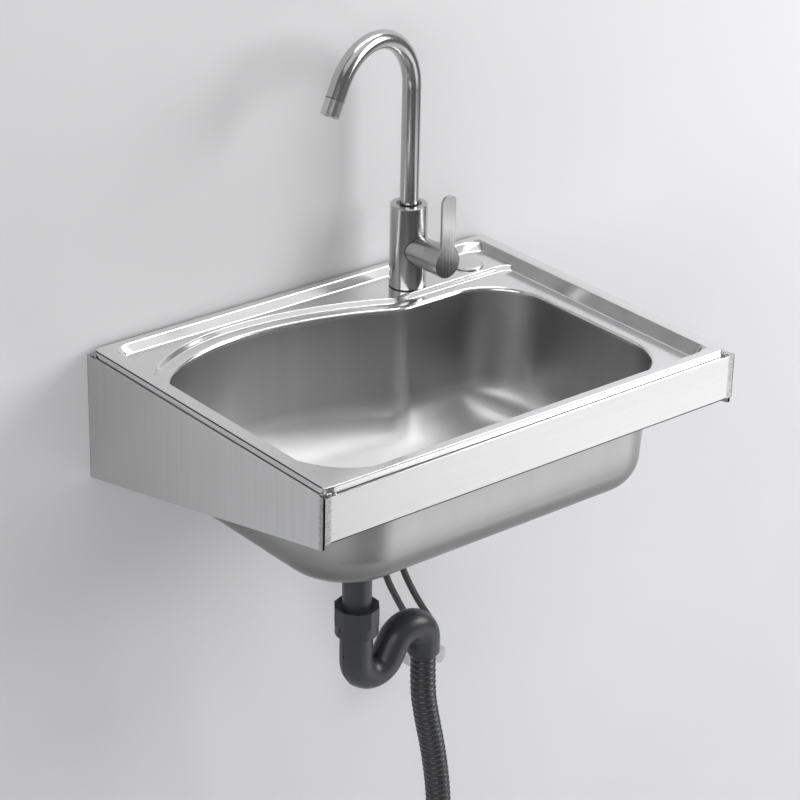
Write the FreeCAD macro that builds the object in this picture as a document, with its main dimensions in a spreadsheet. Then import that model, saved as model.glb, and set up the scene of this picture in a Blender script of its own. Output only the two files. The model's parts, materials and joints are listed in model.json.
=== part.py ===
import FreeCAD, Part

import math
import os
import re
from types import SimpleNamespace

import Sketcher

# A wall-mounted stainless sink: a pressed basin on a welded bracket frame, a single-lever swan-neck tap,
# a basket strainer and an S-shaped waste trap with its ribbed hose. All sizes are millimetres.
# The origin is the middle of the four wall bolts, on the wall. +X runs right as one faces the wall,
# +Y into the wall and +Z up. Basin sizes named from_left and from_rear start at the rim's rear left corner.

Vector = FreeCAD.Vector
UP = Vector(0, 0, 1)

SIZES = {
    # pressed basin
    "sink_width": 580.0,
    "sink_depth": 431.0,
    "sink_shift": -3.5,
    "wall_gap": 5.0,
    "rim_height": 90.0,
    "sheet_gauge": 0.8,
    "skirt_height": 9.0,
    "rim_corner": 10.0,
    "rim_edge_round": 1.2,
    "rim_left": 17.0,
    "rim_right": 15.0,
    "rim_rear": 11.0,
    "rim_front": 12.0,
    "deck_corner": 20.0,
    "deck_run": 9.5,
    "deck_run_rear": 18.0,
    "deck_drop": 15.0,
    "plateau_drop": 9.5,
    "step_run": 5.0,
    "surround_margin": 10.5,
    "surround_corner": 22.0,
    "land_left": 1.5,
    "land_right": 18.5,
    "land_rear": 12.0,
    "land_front": 4.5,
    "lip_crown_from_tap": 245.2,
    "lip_large_arc": 215.0,
    "lip_bow_arc": 430.0,
    "lip_hollow_arc": 50.0,
    "lip_rear_right_arc": 80.0,
    "lip_front_right_arc": 75.0,
    "lip_front_left_arc": 98.0,
    "lip_round": 5.0,
    "bowl_depth": 163.0,
    "bowl_draft": 3.5,
    "bowl_bottom_round": 45.0,
    "floor_corner": 1.0,
    # bracket frame
    "frame_side_gap": 7.0,
    "frame_front_gap": 4.0,
    "frame_gauge": 2.0,
    "flange_width": 15.0,
    "wall_flange_width": 25.0,
    "bracket_rear_height": 156.0,
    "bracket_front_height": 61.5,
    "bracket_corner": 2.0,
    "rail_height": 54.0,
    "rail_return": 12.0,
    "rear_rail_height": 30.0,
    "bolt_inset": 15.0,
    "bolt_spacing_z": 90.0,
    "bolt_hole_radius": 4.25,
    # tap
    "tap_from_right": 162.8,
    "tap_from_rear": 53.4,
    "tap_hole_gap": 1.2,
    "tap_body_radius": 22.6,
    "tap_body_height": 104.0,
    "tap_edge": 1.0,
    "base_seal_thick": 1.2,
    "base_seal_radius": 21.5,
    "collar_radius": 15.0,
    "collar_depth": 25.0,
    "collar_recess": 6.0,
    "tail_radius": 12.4,
    "tail_length": 18.0,
    "tail_headroom": 1.0,
    "swivel_gap": 0.08,
    "seat_gap": 0.3,
    "fit_gap": 0.1,
    "waterway_radius": 8.0,
    "ring_groove": 1.6,
    "ring_width": 2.2,
    "ring_pitch": 8.0,
    "shank_radius": 16.3,
    "shank_bore": 12.6,
    "shank_length": 46.0,
    "shank_sunk": 8.0,
    "washer_radius": 21.5,
    "rubber_washer_thick": 2.5,
    "steel_washer_thick": 2.0,
    "backnut_radius": 21.0,
    "backnut_height": 9.0,
    "spout_radius": 11.3,
    "spout_wall": 1.2,
    "spout_rise": 250.5,
    "spout_arch": 73.6,
    "spout_sweep": 150.0,
    "spout_outlet": 16.4,
    "spout_turn": 76.0,
    "aerator_length": 20.0,
    "aerator_thread": 8.0,
    "aerator_insert_length": 9.0,
    # side valve and lever
    "branch_from_top": 54.5,
    "branch_turn": 2.5,
    "sleeve_wall": 1.9,
    "sleeve_end": 44.5,
    "port_radius": 2.3,
    "port_drop": 7.0,
    "outlet_port_radius": 4.0,
    "outlet_port_rise": 4.0,
    "cartridge_radius": 14.0,
    "cartridge_start": 18.0,
    "cartridge_nut_step": 2.0,
    "cartridge_nut_bore": 10.0,
    "cartridge_nut_depth": 5.0,
    "cartridge_nut_proud": 1.0,
    "driver_radius": 8.0,
    "driver_floor": 2.5,
    "driver_slot_gap": 0.2,
    "pivot_inset": 4.0,
    "pivot_pin_radius": 1.6,
    "stem_thick": 6.0,
    "stem_height": 7.0,
    "stem_grip": 9.5,
    "hub_wall": 1.0,
    "hub_gap": 1.0,
    "hub_length": 25.0,
    "lever_thick": 3.0,
    "lever_width": 21.0,
    "lever_reach": 85.0,
    "lever_blend": 14.0,
    "lever_tip_round": 9.0,
    "boss_radius": 9.0,
    "boss_inset": 6.0,
    "hub_screw_radius": 2.5,
    "hub_screw_length": 5.0,
    # spare tap hole and its cover
    "cover_from_right": 66.0,
    "cover_from_rear": 51.5,
    "cover_hole_radius": 14.0,
    "cover_radius": 19.0,
    "cover_height": 3.2,
    "cover_stud_radius": 5.0,
    "cover_stud_length": 24.0,
    "cover_nut_radius": 17.5,
    "cover_nut_height": 7.0,
    # basket strainer
    "drain_from_left": 211.0,
    "drain_from_rear": 223.0,
    "drain_recess_gap": 2.0,
    "drain_recess_depth": 4.0,
    "drain_hole_gap": 0.5,
    "drain_flange_radius": 56.0,
    "drain_flange_thick": 2.0,
    "cup_radius": 42.5,
    "cup_wall": 2.0,
    "cup_depth": 46.0,
    "outlet_step": 4.4,
    "outlet_bore": 16.0,
    "outlet_length": 22.0,
    "gasket_thick": 3.0,
    "backnut_ring_radius": 56.0,
    "backnut_ring_height": 12.0,
    "backnut_lug_width": 8.0,
    "backnut_lug_reach": 4.0,
    "backnut_lug_count": 6.0,
    "basket_gap": 4.5,
    "basket_foot_radius": 29.0,
    "basket_height": 34.0,
    "basket_wall": 1.0,
    "basket_hole_radius": 2.4,
    "basket_hole_count": 14.0,
    "basket_seal_radius": 24.0,
    "basket_seal_thick": 4.0,
    "knob_stem_radius": 3.5,
    "knob_radius": 9.0,
    "knob_height": 32.0,
    # waste pipe, trap and ribbed hose
    "tailpipe_radius": 17.6,
    "tailpipe_wall": 2.0,
    "tailpipe_flange": 2.0,
    "coupling_washer_thick": 2.0,
    "coupling_nut_wall": 5.0,
    "coupling_nut_height": 26.0,
    "coupling_lip": 5.0,
    "pipe_gap": 0.3,
    "trap_nut_drop": 126.5,
    "trap_nut_height": 23.0,
    "trap_nut_wall": 3.3,
    "trap_nut_flats": 10.0,
    "trap_nut_lip": 4.0,
    "trap_thread_wall": 6.6,
    "trap_collar_step": 1.8,
    "trap_collar_height": 13.5,
    "trap_washer_height": 4.0,
    "trap_socket_depth": 20.0,
    "hose_seal_wall": 2.0,
    "trap_pipe_wall": 2.2,
    "trap_bend": 25.0,
    "trap_straight": 3.5,
    "trap_leg": 38.0,
    "trap_rise": -7.0,
    "trap_outlet": 18.0,
    "hose_radius": 15.8,
    "hose_root_radius": 13.2,
    "hose_bore_radius": 11.7,
    "hose_pitch": 8.0,
    "hose_cuff_radius": 17.5,
    "hose_cuff_length": 34.0,
    "hose_cuff_cover": 20.0,
    # supply hoses
    "supply_radius": 4.5,
    "supply_spacing": 11.0,
    "supply_tail_radius": 3.6,
    "supply_tail_bore": 2.2,
    "supply_tail_sunk": 12.0,
    "supply_ferrule_radius": 6.4,
    "supply_ferrule_length": 16.0,
    "supply_nut_flats": 24.0,
    "supply_nut_height": 15.0,
    "supply_nut_thread_radius": 10.2,
    "supply_nipple_radius": 9.0,
    "supply_nipple_thick": 2.0,
    "supply_nut_neck": 3.0,
}

# Places that several pieces share, worked out from the sizes above.
PLACES = {
    "rim_left_x": "sink_shift - sink_width / 2",
    "rim_rear_y": "-wall_gap",
    "plateau_z": "rim_height - plateau_drop",
    "deck_z": "rim_height - deck_drop",
    "floor_z": "deck_z - bowl_depth",
    "flange_z": "rim_height - skirt_height",
    "lip_left": "rim_left + deck_run + land_left",
    "lip_right": "rim_right + deck_run + land_right",
    "lip_rear": "rim_rear + deck_run_rear + land_rear",
    "lip_front": "rim_front + deck_run + land_front",
    "lip_bay": "tap_from_rear + washer_radius + seat_gap + sheet_gauge + step_run + surround_margin",
    "foot_inset": "(lip_round + bowl_bottom_round) / cos(bowl_draft * 1 deg)"
    " + (bowl_depth - lip_round - bowl_bottom_round) * tan(bowl_draft * 1 deg)",
    "lip_small_arc": "foot_inset + floor_corner",
    "frame_width": "sink_width + 2 * frame_side_gap",
    "frame_depth": "wall_gap + sink_depth + frame_front_gap",
    "bolt_spacing_x": "frame_width - 2 * bolt_inset",
    "plate_x": "frame_width / 2 - frame_gauge",
    "tap_x": "rim_left_x + sink_width - tap_from_right",
    "tap_y": "rim_rear_y - tap_from_rear",
    "tap_z": "plateau_z + base_seal_thick",
    "tap_hole_radius": "shank_radius + tap_hole_gap",
    "tail_seat": "tap_body_height - collar_depth - tail_length - tail_headroom",
    "branch_height": "tap_body_height - branch_from_top",
    "branch_z": "tap_z + branch_height",
    "cartridge_nut_radius": "cartridge_radius + cartridge_nut_step",
    "cartridge_end": "sleeve_end - cartridge_nut_depth",
    "cartridge_nut_end": "sleeve_end + cartridge_nut_proud",
    "sleeve_radius": "cartridge_nut_radius + sleeve_wall",
    "pivot_reach": "cartridge_end - pivot_inset",
    "driver_slot": "stem_thick + 2 * driver_slot_gap",
    "driver_start": "pivot_reach - stem_height - driver_floor",
    "hub_radius": "sleeve_radius + hub_wall",
    "hub_start": "sleeve_end + hub_gap",
    "hub_end": "hub_start + hub_length",
    "boss_start": "hub_start + boss_inset",
    "stem_end": "boss_start + stem_grip",
    "cover_x": "rim_left_x + sink_width - cover_from_right",
    "cover_y": "rim_rear_y - cover_from_rear",
    "drain_x": "rim_left_x + drain_from_left",
    "drain_y": "rim_rear_y - drain_from_rear",
    "drain_z": "floor_z - drain_recess_depth",
    "drain_recess_radius": "drain_flange_radius + drain_recess_gap",
    "drain_hole_radius": "cup_radius + drain_hole_gap",
    "basket_radius": "cup_radius - cup_wall - basket_gap",
    "outlet_radius": "tailpipe_radius + outlet_step",
    "coupling_nut_radius": "outlet_radius + coupling_nut_wall",
    "cup_floor_z": "drain_z - cup_depth",
    "outlet_z": "cup_floor_z - cup_wall - outlet_length",
    "pipe_top_z": "outlet_z - coupling_washer_thick",
    "trap_thread_radius": "tailpipe_radius + trap_thread_wall",
    "trap_nut_radius": "trap_thread_radius + trap_nut_wall",
    "trap_collar_radius": "trap_thread_radius + trap_collar_step",
    "trap_pipe_radius": "hose_radius + hose_seal_wall + trap_pipe_wall",
    "trap_offset": "4 * trap_bend + trap_straight",
    "trap_nut_z": "floor_z - trap_nut_drop",
    "trap_end_z": "trap_nut_z - trap_nut_lip - trap_washer_height",
    "trap_collar_z": "trap_nut_z - trap_nut_height",
    "trap_pipe_z": "trap_collar_z - trap_collar_height",
    "pipe_end_z": "trap_end_z - trap_socket_depth",
    "trap_out_x": "drain_x + trap_offset",
    "trap_out_z": "trap_pipe_z - trap_leg + trap_rise - trap_outlet",
}

doc = FreeCAD.newDocument("wall_mounted_sink")
sizes_sheet = doc.addObject("Spreadsheet::Sheet", "Sizes")
places_sheet = doc.addObject("Spreadsheet::Sheet", "Places")
pieces = {}


def bound(text):
    """The expression, with each size or place named with its sheet."""
    def named(word):
        name = word.group()
        if name in SIZES:
            return "Sizes." + name
        return "Places." + name if name in PLACES else name
    return re.sub(r"[A-Za-z_]\w*", named, text)


def fill_sheets():
    for row, (name, value) in enumerate(SIZES.items(), 1):
        sizes_sheet.set(f"A{row}", name)
        sizes_sheet.set(f"B{row}", str(value))
        sizes_sheet.setAlias(f"B{row}", name)
    for row, (name, formula) in enumerate(PLACES.items(), 1):
        places_sheet.set(f"A{row}", name)
        places_sheet.set(f"B{row}", "=" + re.sub(r"Places\.", "", bound(formula)))
        places_sheet.setAlias(f"B{row}", name)
    doc.recompute()


fill_sheets()
s = SimpleNamespace(**{name: float(getattr(sizes_sheet, name)) for name in SIZES})
p = SimpleNamespace(**{name: float(getattr(places_sheet, name)) for name in PLACES})


# Helpers for the document


def keep(item, label):
    item.Label = label
    pieces[label] = item
    return item


def place(item, at, turn=None):
    """Put a piece at three bound expressions, turned about its own origin first."""
    if turn:
        item.Placement = FreeCAD.Placement(Vector(), turn)
    for axis, text in zip("xyz", at):
        item.setExpression(f"Placement.Base.{axis}", bound(text))
    return item


def plane_sketch(body, role, lift=None):
    """A sketch on one of the body's own origin planes, lifted off it by an expression."""
    plane = next(f for f in body.Origin.OriginFeatures if f.Role == role)
    sketch = body.newObject("Sketcher::SketchObject", "Sketch")
    sketch.AttachmentSupport = [(plane, "")]
    sketch.MapMode = "FlatFace"
    if lift:
        sketch.setExpression("AttachmentOffset.Base.z", bound(lift))
    return sketch


def draw_outline(sketch, corners):
    """A closed outline of straight lines, each corner held by two bound distances."""
    count = len(corners)
    first = sketch.GeometryCount
    turns = [2 * math.pi * k / count for k in range(count)]
    start = [Vector(40 + 20 * math.cos(turn), 20 * math.sin(turn), 0) for turn in turns]
    for k in range(count):
        sketch.addGeometry(Part.LineSegment(start[k], start[(k + 1) % count]), False)
    for k in range(count):
        following = first + (k + 1) % count
        sketch.addConstraint(Sketcher.Constraint("Coincident", first + k, 2, following, 1))
    for k, corner in enumerate(corners):
        for kind, text in zip(("DistanceX", "DistanceY"), corner):
            at = sketch.addConstraint(Sketcher.Constraint(kind, -1, 1, first + k, 1, 1.0))
            sketch.setExpression(f"Constraints[{at}]", bound(text))


def draw_circle(sketch, centre, radius):
    """A circle whose centre and radius are bound."""
    item = sketch.addGeometry(Part.Circle(Vector(1, 1, 0), UP, 5.0), False)
    for kind, text in zip(("DistanceX", "DistanceY"), centre):
        at = sketch.addConstraint(Sketcher.Constraint(kind, -1, 1, item, 3, 1.0))
        sketch.setExpression(f"Constraints[{at}]", bound(text))
    at = sketch.addConstraint(Sketcher.Constraint("Radius", item, 5.0))
    sketch.setExpression(f"Constraints[{at}]", bound(radius))


def new_body(label):
    return keep(doc.addObject("PartDesign::Body", label), label)


def turn_profile(body, corners, kind="PartDesign::Revolution"):
    """Turn an outline of (radius, height) about the body's Z axis, as solid or as a groove."""
    sketch = plane_sketch(body, "XZ_Plane")
    draw_outline(sketch, corners)
    turning = body.newObject(kind, "Turning")
    turning.Profile = sketch
    turning.ReferenceAxis = (sketch, ["V_Axis"])
    turning.Angle = 360
    return turning


def turned(label, corners, at, turn=None):
    body = new_body(label)
    turn_profile(body, corners)
    return place(body, at, turn)


def ring(inner, outer, low, high):
    """The four corners of a plain ring's section."""
    return [(inner, low), (outer, low), (outer, high), (inner, high)]


def pad(body, sketch, length, reverse=False):
    item = body.newObject("PartDesign::Pad", "Pad")
    item.Profile = sketch
    item.setExpression("Length", bound(length))
    item.Reversed = reverse
    return item


def pocket(body, sketch, length, reverse=False, both=False):
    """A cut from a sketch, which is checked to take material away."""
    doc.recompute()
    before = body.Shape.Volume
    item = body.newObject("PartDesign::Pocket", "Pocket")
    item.Profile = sketch
    item.setExpression("Length", bound(length))
    item.Reversed = reverse
    item.Midplane = both
    doc.recompute()
    if body.Shape.Volume > before - 0.01:
        raise RuntimeError(f"a cut of {body.Label} takes nothing away")
    return item


def pattern_around(body, feature, count):
    """Repeat one feature evenly about the body's Z axis."""
    axis = next(f for f in body.Origin.OriginFeatures if f.Role == "Z_Axis")
    pattern = body.newObject("PartDesign::PolarPattern", "Pattern")
    pattern.Originals = [feature]
    pattern.Axis = (axis, [""])
    pattern.Angle = 360
    pattern.setExpression("Occurrences", bound(count))
    body.Tip = pattern
    doc.recompute()


def round_edges(body, radius, axis, wanted):
    """Fillet the straight edges along an axis that pass through the wanted points."""
    doc.recompute()
    base = body.Tip
    names = []
    for number, edge in enumerate(base.Shape.Edges, 1):
        ends = [v.Point for v in edge.Vertexes]
        if len(ends) == 2 and (ends[1] - ends[0]).cross(axis).Length < 1e-6:
            if any((point - ends[0]).cross(axis).Length < 0.05 for point in wanted):
                names.append(f"Edge{number}")
    if len(names) != len(wanted):
        raise RuntimeError(f"{body.Label}: {len(names)} of {len(wanted)} edges to round")
    fillet = body.newObject("PartDesign::Fillet", "Fillet")
    fillet.Base = (base, names)
    fillet.setExpression("Radius", bound(radius))


def flats(sketch, count, radius):
    """A regular outline with its corners on the circle of a bound radius."""
    step = 360.0 / count
    corners = []
    for k in range(count):
        angle = f"{(k + 0.5) * step:.4f} deg"
        corners.append((f"({radius}) * cos({angle})", f"({radius}) * sin({angle})"))
    draw_outline(sketch, corners)


def shaped(label, shape, base=None, turn=None):
    """A piece whose form is worked out by code from the sheet's sizes."""
    item = keep(doc.addObject("Part::Feature", label), label)
    item.Shape = shape
    if base is not None:
        item.Placement = FreeCAD.Placement(base, turn or FreeCAD.Rotation())
    return item


# Pressed basin


def arc_edge(centre, radius, start, end, z):
    """An arc in the level plane z, from one angle to another in degrees."""
    def at(angle):
        turn = math.radians(angle)
        return Vector(centre[0] + radius * math.cos(turn), centre[1] + radius * math.sin(turn), z)
    return Part.Arc(at(start), at((start + end) / 2), at(end)).toShape()


def level_wire(arcs, inset, z):
    """A closed outline of arcs joined by straight lines, drawn in by an inset.

    Each arc is (centre x, centre y, radius, start, end); one that runs backwards is a hollow.
    """
    edges = []
    for x, y, radius, start, end in arcs:
        edges.append(arc_edge((x, y), radius - inset if end > start else radius + inset, start, end, z))
    wire = []
    for k, edge in enumerate(edges):
        wire.append(edge)
        here = edge.valueAt(edge.LastParameter)
        there = edges[(k + 1) % len(edges)].valueAt(edges[(k + 1) % len(edges)].FirstParameter)
        if here.distanceToPoint(there) > 1e-5:
            wire.append(Part.makeLine(here, there))
    return Part.Wire(wire)


def block(arcs, sections):
    """A solid through the same outline at several (inset, z) sections."""
    return Part.makeLoft([level_wire(arcs, inset, z) for inset, z in sections], True, True)


def rectangle_arcs(left, right, front, rear, corner):
    return [
        (left + corner, front + corner, corner, 180, 270),
        (right - corner, front + corner, corner, 270, 360),
        (right - corner, rear - corner, corner, 0, 90),
        (left + corner, rear - corner, corner, 90, 180),
    ]


def bowl_arcs(right, rear_right, front_right, front_left):
    """The bowl's kidney outline at its lip; the rear bends forward in a bay for the tap."""
    rear = p.rim_rear_y - p.lip_rear
    bay = p.rim_rear_y - p.lip_bay
    front = p.rim_rear_y - s.sink_depth + p.lip_front
    left = p.rim_left_x + p.lip_left
    crown = p.tap_x - s.lip_crown_from_tap
    both = s.lip_bow_arc + s.lip_hollow_arc
    slope = math.degrees(math.acos(1 - (rear - bay) / both))
    hollow_x = crown + both * math.sin(math.radians(slope))
    small_x = left + p.lip_small_arc
    between = s.lip_large_arc - p.lip_small_arc
    small_y = rear - s.lip_large_arc + math.sqrt(between ** 2 - (crown - small_x) ** 2)
    join = 180 - math.degrees(math.acos((crown - small_x) / between))
    return [
        (left + front_left, front + front_left, front_left, 180, 270),
        (right - front_right, front + front_right, front_right, 270, 360),
        (right - rear_right, bay - rear_right, rear_right, 0, 90),
        (hollow_x, bay + s.lip_hollow_arc, s.lip_hollow_arc, 270, 270 - slope),
        (crown, rear - s.lip_bow_arc, s.lip_bow_arc, 90 - slope, 90),
        (crown, rear - s.lip_large_arc, s.lip_large_arc, 90, join),
        (small_x, small_y, p.lip_small_arc, join, 180),
    ]


def bowl_sections(gauge):
    """(inset, z) down the bowl: the rounded lip, the drafted wall and the rounded foot.

    The gauge is 0 for the inside face and the sheet's thickness for the outside face.
    """
    lip_steps = 3
    foot_steps = 6
    draft = math.radians(s.bowl_draft)
    lip_centre_z = p.deck_z - s.lip_round
    lip_radius = s.lip_round - gauge
    foot_centre_z = p.floor_z + s.bowl_bottom_round
    foot_radius = s.bowl_bottom_round + gauge
    sections = [(0, p.deck_z + s.sheet_gauge), (0, lip_centre_z + lip_radius)]
    for k in range(1, lip_steps + 1):
        angle = (math.pi / 2 - draft) * k / lip_steps
        sections.append((lip_radius * math.sin(angle), lip_centre_z + lip_radius * math.cos(angle)))
    for k in range(foot_steps + 1):
        angle = draft + (math.pi / 2 - draft) * k / foot_steps
        inset = p.foot_inset - foot_radius * math.cos(angle)
        sections.append((inset, foot_centre_z - foot_radius * math.sin(angle)))
    return sections


def die(gauge):
    """What the press forms: deck, tap plateau, surround, bowl and drain seat, grown by the gauge."""
    left = p.rim_left_x + s.rim_left
    right = p.rim_left_x + s.sink_width - s.rim_right
    front = p.rim_rear_y - s.sink_depth + s.rim_front
    rear = p.rim_rear_y - s.rim_rear
    above = s.rim_height + s.sheet_gauge
    top = rectangle_arcs(left, right, front, rear, s.deck_corner)
    foot = rectangle_arcs(
        left + s.deck_run, right - s.deck_run, front + s.deck_run, rear - s.deck_run_rear,
        s.deck_corner - s.deck_run,
    )
    deck = Part.makeLoft(
        [level_wire(top, -gauge, s.rim_height), level_wire(foot, -gauge, p.deck_z - gauge)], True, True
    )
    ceiling = Part.makeBox(
        s.sink_width, s.sink_depth, s.plateau_drop + gauge,
        Vector(p.rim_left_x, p.rim_rear_y - s.sink_depth, p.plateau_z - gauge),
    )
    surround_right = right - s.deck_run + s.surround_corner / 4
    margin = s.surround_margin + gauge
    corner = s.surround_corner - s.surround_margin
    surround_lip = bowl_arcs(surround_right - s.surround_margin, corner, corner, corner)
    surround = block(
        surround_lip,
        [(-margin, p.deck_z - gauge), (-margin - s.step_run, p.plateau_z - gauge),
         (-margin - s.step_run, s.rim_height)],
    )
    bowl_right = p.rim_left_x + s.sink_width - p.lip_right
    lip = bowl_arcs(bowl_right, s.lip_rear_right_arc, s.lip_front_right_arc, s.lip_front_left_arc)
    bowl = block(lip, bowl_sections(gauge))
    seat = Part.makeCylinder(
        p.drain_recess_radius + gauge, s.drain_recess_depth + s.sheet_gauge,
        Vector(p.drain_x, p.drain_y, p.drain_z - gauge),
    )
    formed = deck.common(ceiling.fuse(surround)).fuse([bowl, seat])
    if gauge == 0:
        opening = block(top, [(0, s.rim_height), (0, above)])
        formed = formed.fuse(opening)
    return formed


def make_basin():
    bottom = s.rim_height - s.skirt_height
    rim = rectangle_arcs(
        p.rim_left_x, p.rim_left_x + s.sink_width, p.rim_rear_y - s.sink_depth, p.rim_rear_y, s.rim_corner
    )
    pan = block(rim, [(0, bottom), (0, s.rim_height)])
    top_edges = [e for e in pan.Edges if e.BoundBox.ZMin > s.rim_height - 0.01]
    pan = pan.makeFillet(s.rim_edge_round, top_edges)
    inside = block(
        rim, [(s.sheet_gauge, bottom - s.sheet_gauge), (s.sheet_gauge, s.rim_height - s.sheet_gauge)]
    )
    basin = pan.cut(inside).fuse(die(s.sheet_gauge)).cut(die(0))
    for x, y, radius, low, high in (
        (p.tap_x, p.tap_y, p.tap_hole_radius, p.deck_z, s.rim_height),
        (p.cover_x, p.cover_y, s.cover_hole_radius, p.deck_z, s.rim_height),
        (p.drain_x, p.drain_y, p.drain_hole_radius, p.drain_z - s.cup_depth, p.floor_z),
    ):
        basin = basin.cut(Part.makeCylinder(radius, high - low, Vector(x, y, low)))
    shaped("sink_basin", basin.removeSplitter().Solids[0])


make_basin()


# Bracket frame


def make_side_bracket(label, side):
    """A folded side plate: a top flange carries the rim and a rear flange takes the wall bolts."""
    sign = "-" if side < 0 else ""
    body = new_body(label)
    plate = plane_sketch(body, "YZ_Plane", "-frame_width / 2" if side < 0 else "plate_x")
    draw_outline(plate, [
        ("0", "flange_z"),
        ("0", "flange_z - bracket_rear_height"),
        ("frame_gauge - frame_depth", "flange_z - bracket_front_height"),
        ("frame_gauge - frame_depth", "flange_z"),
    ])
    pad(body, plate, "frame_gauge")
    corner = Vector(0, s.frame_gauge - p.frame_depth, p.flange_z - s.bracket_front_height)
    round_edges(body, "bracket_corner", Vector(1, 0, 0), [corner])
    top = plane_sketch(body, "XY_Plane", "flange_z - frame_gauge")
    inner = f"{sign}(plate_x - flange_width)"
    draw_outline(top, [
        (f"{sign}plate_x", "-frame_gauge"),
        (inner, "-frame_gauge"),
        (inner, "frame_gauge + flange_width - frame_depth"),
        (f"{sign}plate_x", "frame_gauge + flange_width - frame_depth"),
    ])
    pad(body, top, "frame_gauge")
    wall = plane_sketch(body, "XZ_Plane")
    inner = f"{sign}(plate_x - wall_flange_width)"
    draw_outline(wall, [
        (f"{sign}plate_x", "flange_z"),
        (f"{sign}plate_x", "flange_z - bracket_rear_height"),
        (inner, "flange_z - bracket_rear_height"),
        (inner, "flange_z"),
    ])
    for height in ("bolt_spacing_z / 2", "-bolt_spacing_z / 2"):
        draw_circle(wall, (f"{sign}bolt_spacing_x / 2", height), "bolt_hole_radius")
    pad(body, wall, "frame_gauge")


def make_front_rail():
    """A folded channel whose web closes the frame's front, over the ends of the side plates."""
    body = new_body("front_rail")
    web = plane_sketch(body, "XZ_Plane", "frame_depth - frame_gauge")
    draw_outline(web, [
        ("-frame_width / 2", "flange_z"),
        ("frame_width / 2", "flange_z"),
        ("frame_width / 2", "flange_z - rail_height"),
        ("-frame_width / 2", "flange_z - rail_height"),
    ])
    pad(body, web, "frame_gauge")
    folds = plane_sketch(body, "YZ_Plane")
    for low, reach in (
        ("flange_z - frame_gauge", "flange_width"),
        ("flange_z - rail_height", "rail_return"),
    ):
        draw_outline(folds, [
            ("frame_gauge - frame_depth", low),
            (f"frame_gauge - frame_depth + {reach}", low),
            (f"frame_gauge - frame_depth + {reach}", f"{low} + frame_gauge"),
            ("frame_gauge - frame_depth", f"{low} + frame_gauge"),
        ])
    pad(body, folds, "2 * plate_x").Midplane = True


def make_rear_rail():
    """An angle along the wall between the brackets, under the rear of the rim."""
    body = new_body("rear_rail")
    section = plane_sketch(body, "YZ_Plane")
    draw_outline(section, [
        ("0", "flange_z"),
        ("0", "flange_z - rear_rail_height"),
        ("-frame_gauge", "flange_z - rear_rail_height"),
        ("-frame_gauge", "flange_z - frame_gauge"),
        ("-frame_gauge - flange_width", "flange_z - frame_gauge"),
        ("-frame_gauge - flange_width", "flange_z"),
    ])
    pad(body, section, "2 * (plate_x - wall_flange_width)").Midplane = True


make_side_bracket("left_bracket", -1)
make_side_bracket("right_bracket", 1)
make_front_rail()
make_rear_rail()


# Tap body and what holds it to the deck

TAP = ("tap_x", "tap_y", "tap_z")
BRANCH_WAY = Vector(math.sin(math.radians(s.branch_turn)), -math.cos(math.radians(s.branch_turn)), 0)
BRANCH = ("tap_x", "tap_y", "branch_z")
BRANCH_TURN = FreeCAD.Rotation(UP.cross(BRANCH_WAY), UP, BRANCH_WAY, "ZYX")


def branch_sketch(body, lift):
    """A sketch square to the side branch, at a bound distance from the tap's axis."""
    sketch = plane_sketch(body, "XZ_Plane")
    turn = FreeCAD.Rotation(Vector(0, 1, 0), s.branch_turn)
    sketch.AttachmentOffset = FreeCAD.Placement(Vector(), turn)
    way = "branch_turn * 1 deg"
    sketch.setExpression("AttachmentOffset.Rotation.Angle", bound(way))
    sketch.setExpression("AttachmentOffset.Base.x", bound(f"({lift}) * sin({way})"))
    sketch.setExpression("AttachmentOffset.Base.y", bound("branch_height"))
    sketch.setExpression("AttachmentOffset.Base.z", bound(f"({lift}) * cos({way})"))
    return sketch


def make_tap_body():
    collar = "tap_body_height - collar_depth"
    body = new_body("tap_body")
    turn_profile(body, [
        ("0", "shank_sunk"),
        ("shank_radius + fit_gap", "shank_sunk"),
        ("shank_radius + fit_gap", "0"),
        ("tap_body_radius", "0"),
        ("tap_body_radius", "tap_body_height - tap_edge"),
        ("tap_body_radius - tap_edge", "tap_body_height"),
        ("collar_radius", "tap_body_height"),
        ("collar_radius", collar),
        ("tail_radius + swivel_gap", collar),
        ("tail_radius + swivel_gap", "tail_seat"),
        ("waterway_radius", "tail_seat"),
        ("waterway_radius", "branch_height"),
        ("0", "branch_height"),
    ])
    sleeve = branch_sketch(body, "tail_radius + tap_edge")
    draw_circle(sleeve, ("0", "0"), "sleeve_radius")
    pad(body, sleeve, "sleeve_end - tail_radius - tap_edge")
    for start, end, radius in (
        ("cartridge_start", "cartridge_end", "cartridge_radius"),
        ("cartridge_end", "sleeve_end + tap_edge", "cartridge_nut_radius"),
    ):
        bore = branch_sketch(body, start)
        draw_circle(bore, ("0", "0"), radius)
        pocket(body, bore, f"{end} - {start}", reverse=True)
    ports = branch_sketch(body, "0")
    draw_circle(ports, ("0", "outlet_port_rise"), "outlet_port_radius")
    for side in ("-", ""):
        draw_circle(ports, (f"{side}supply_spacing / 2", "-port_drop"), "port_radius")
    pocket(body, ports, "cartridge_start", reverse=True)
    rise = "branch_height - port_drop - shank_sunk"
    for radius, depth in (("supply_tail_radius + fit_gap", "supply_tail_sunk"), ("port_radius", rise)):
        inlets = plane_sketch(body, "XY_Plane", "shank_sunk")
        for side in ("-", ""):
            draw_circle(inlets, (f"{side}supply_spacing / 2", "0"), radius)
        pocket(body, inlets, depth, reverse=True)
    place(body, TAP)


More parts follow.
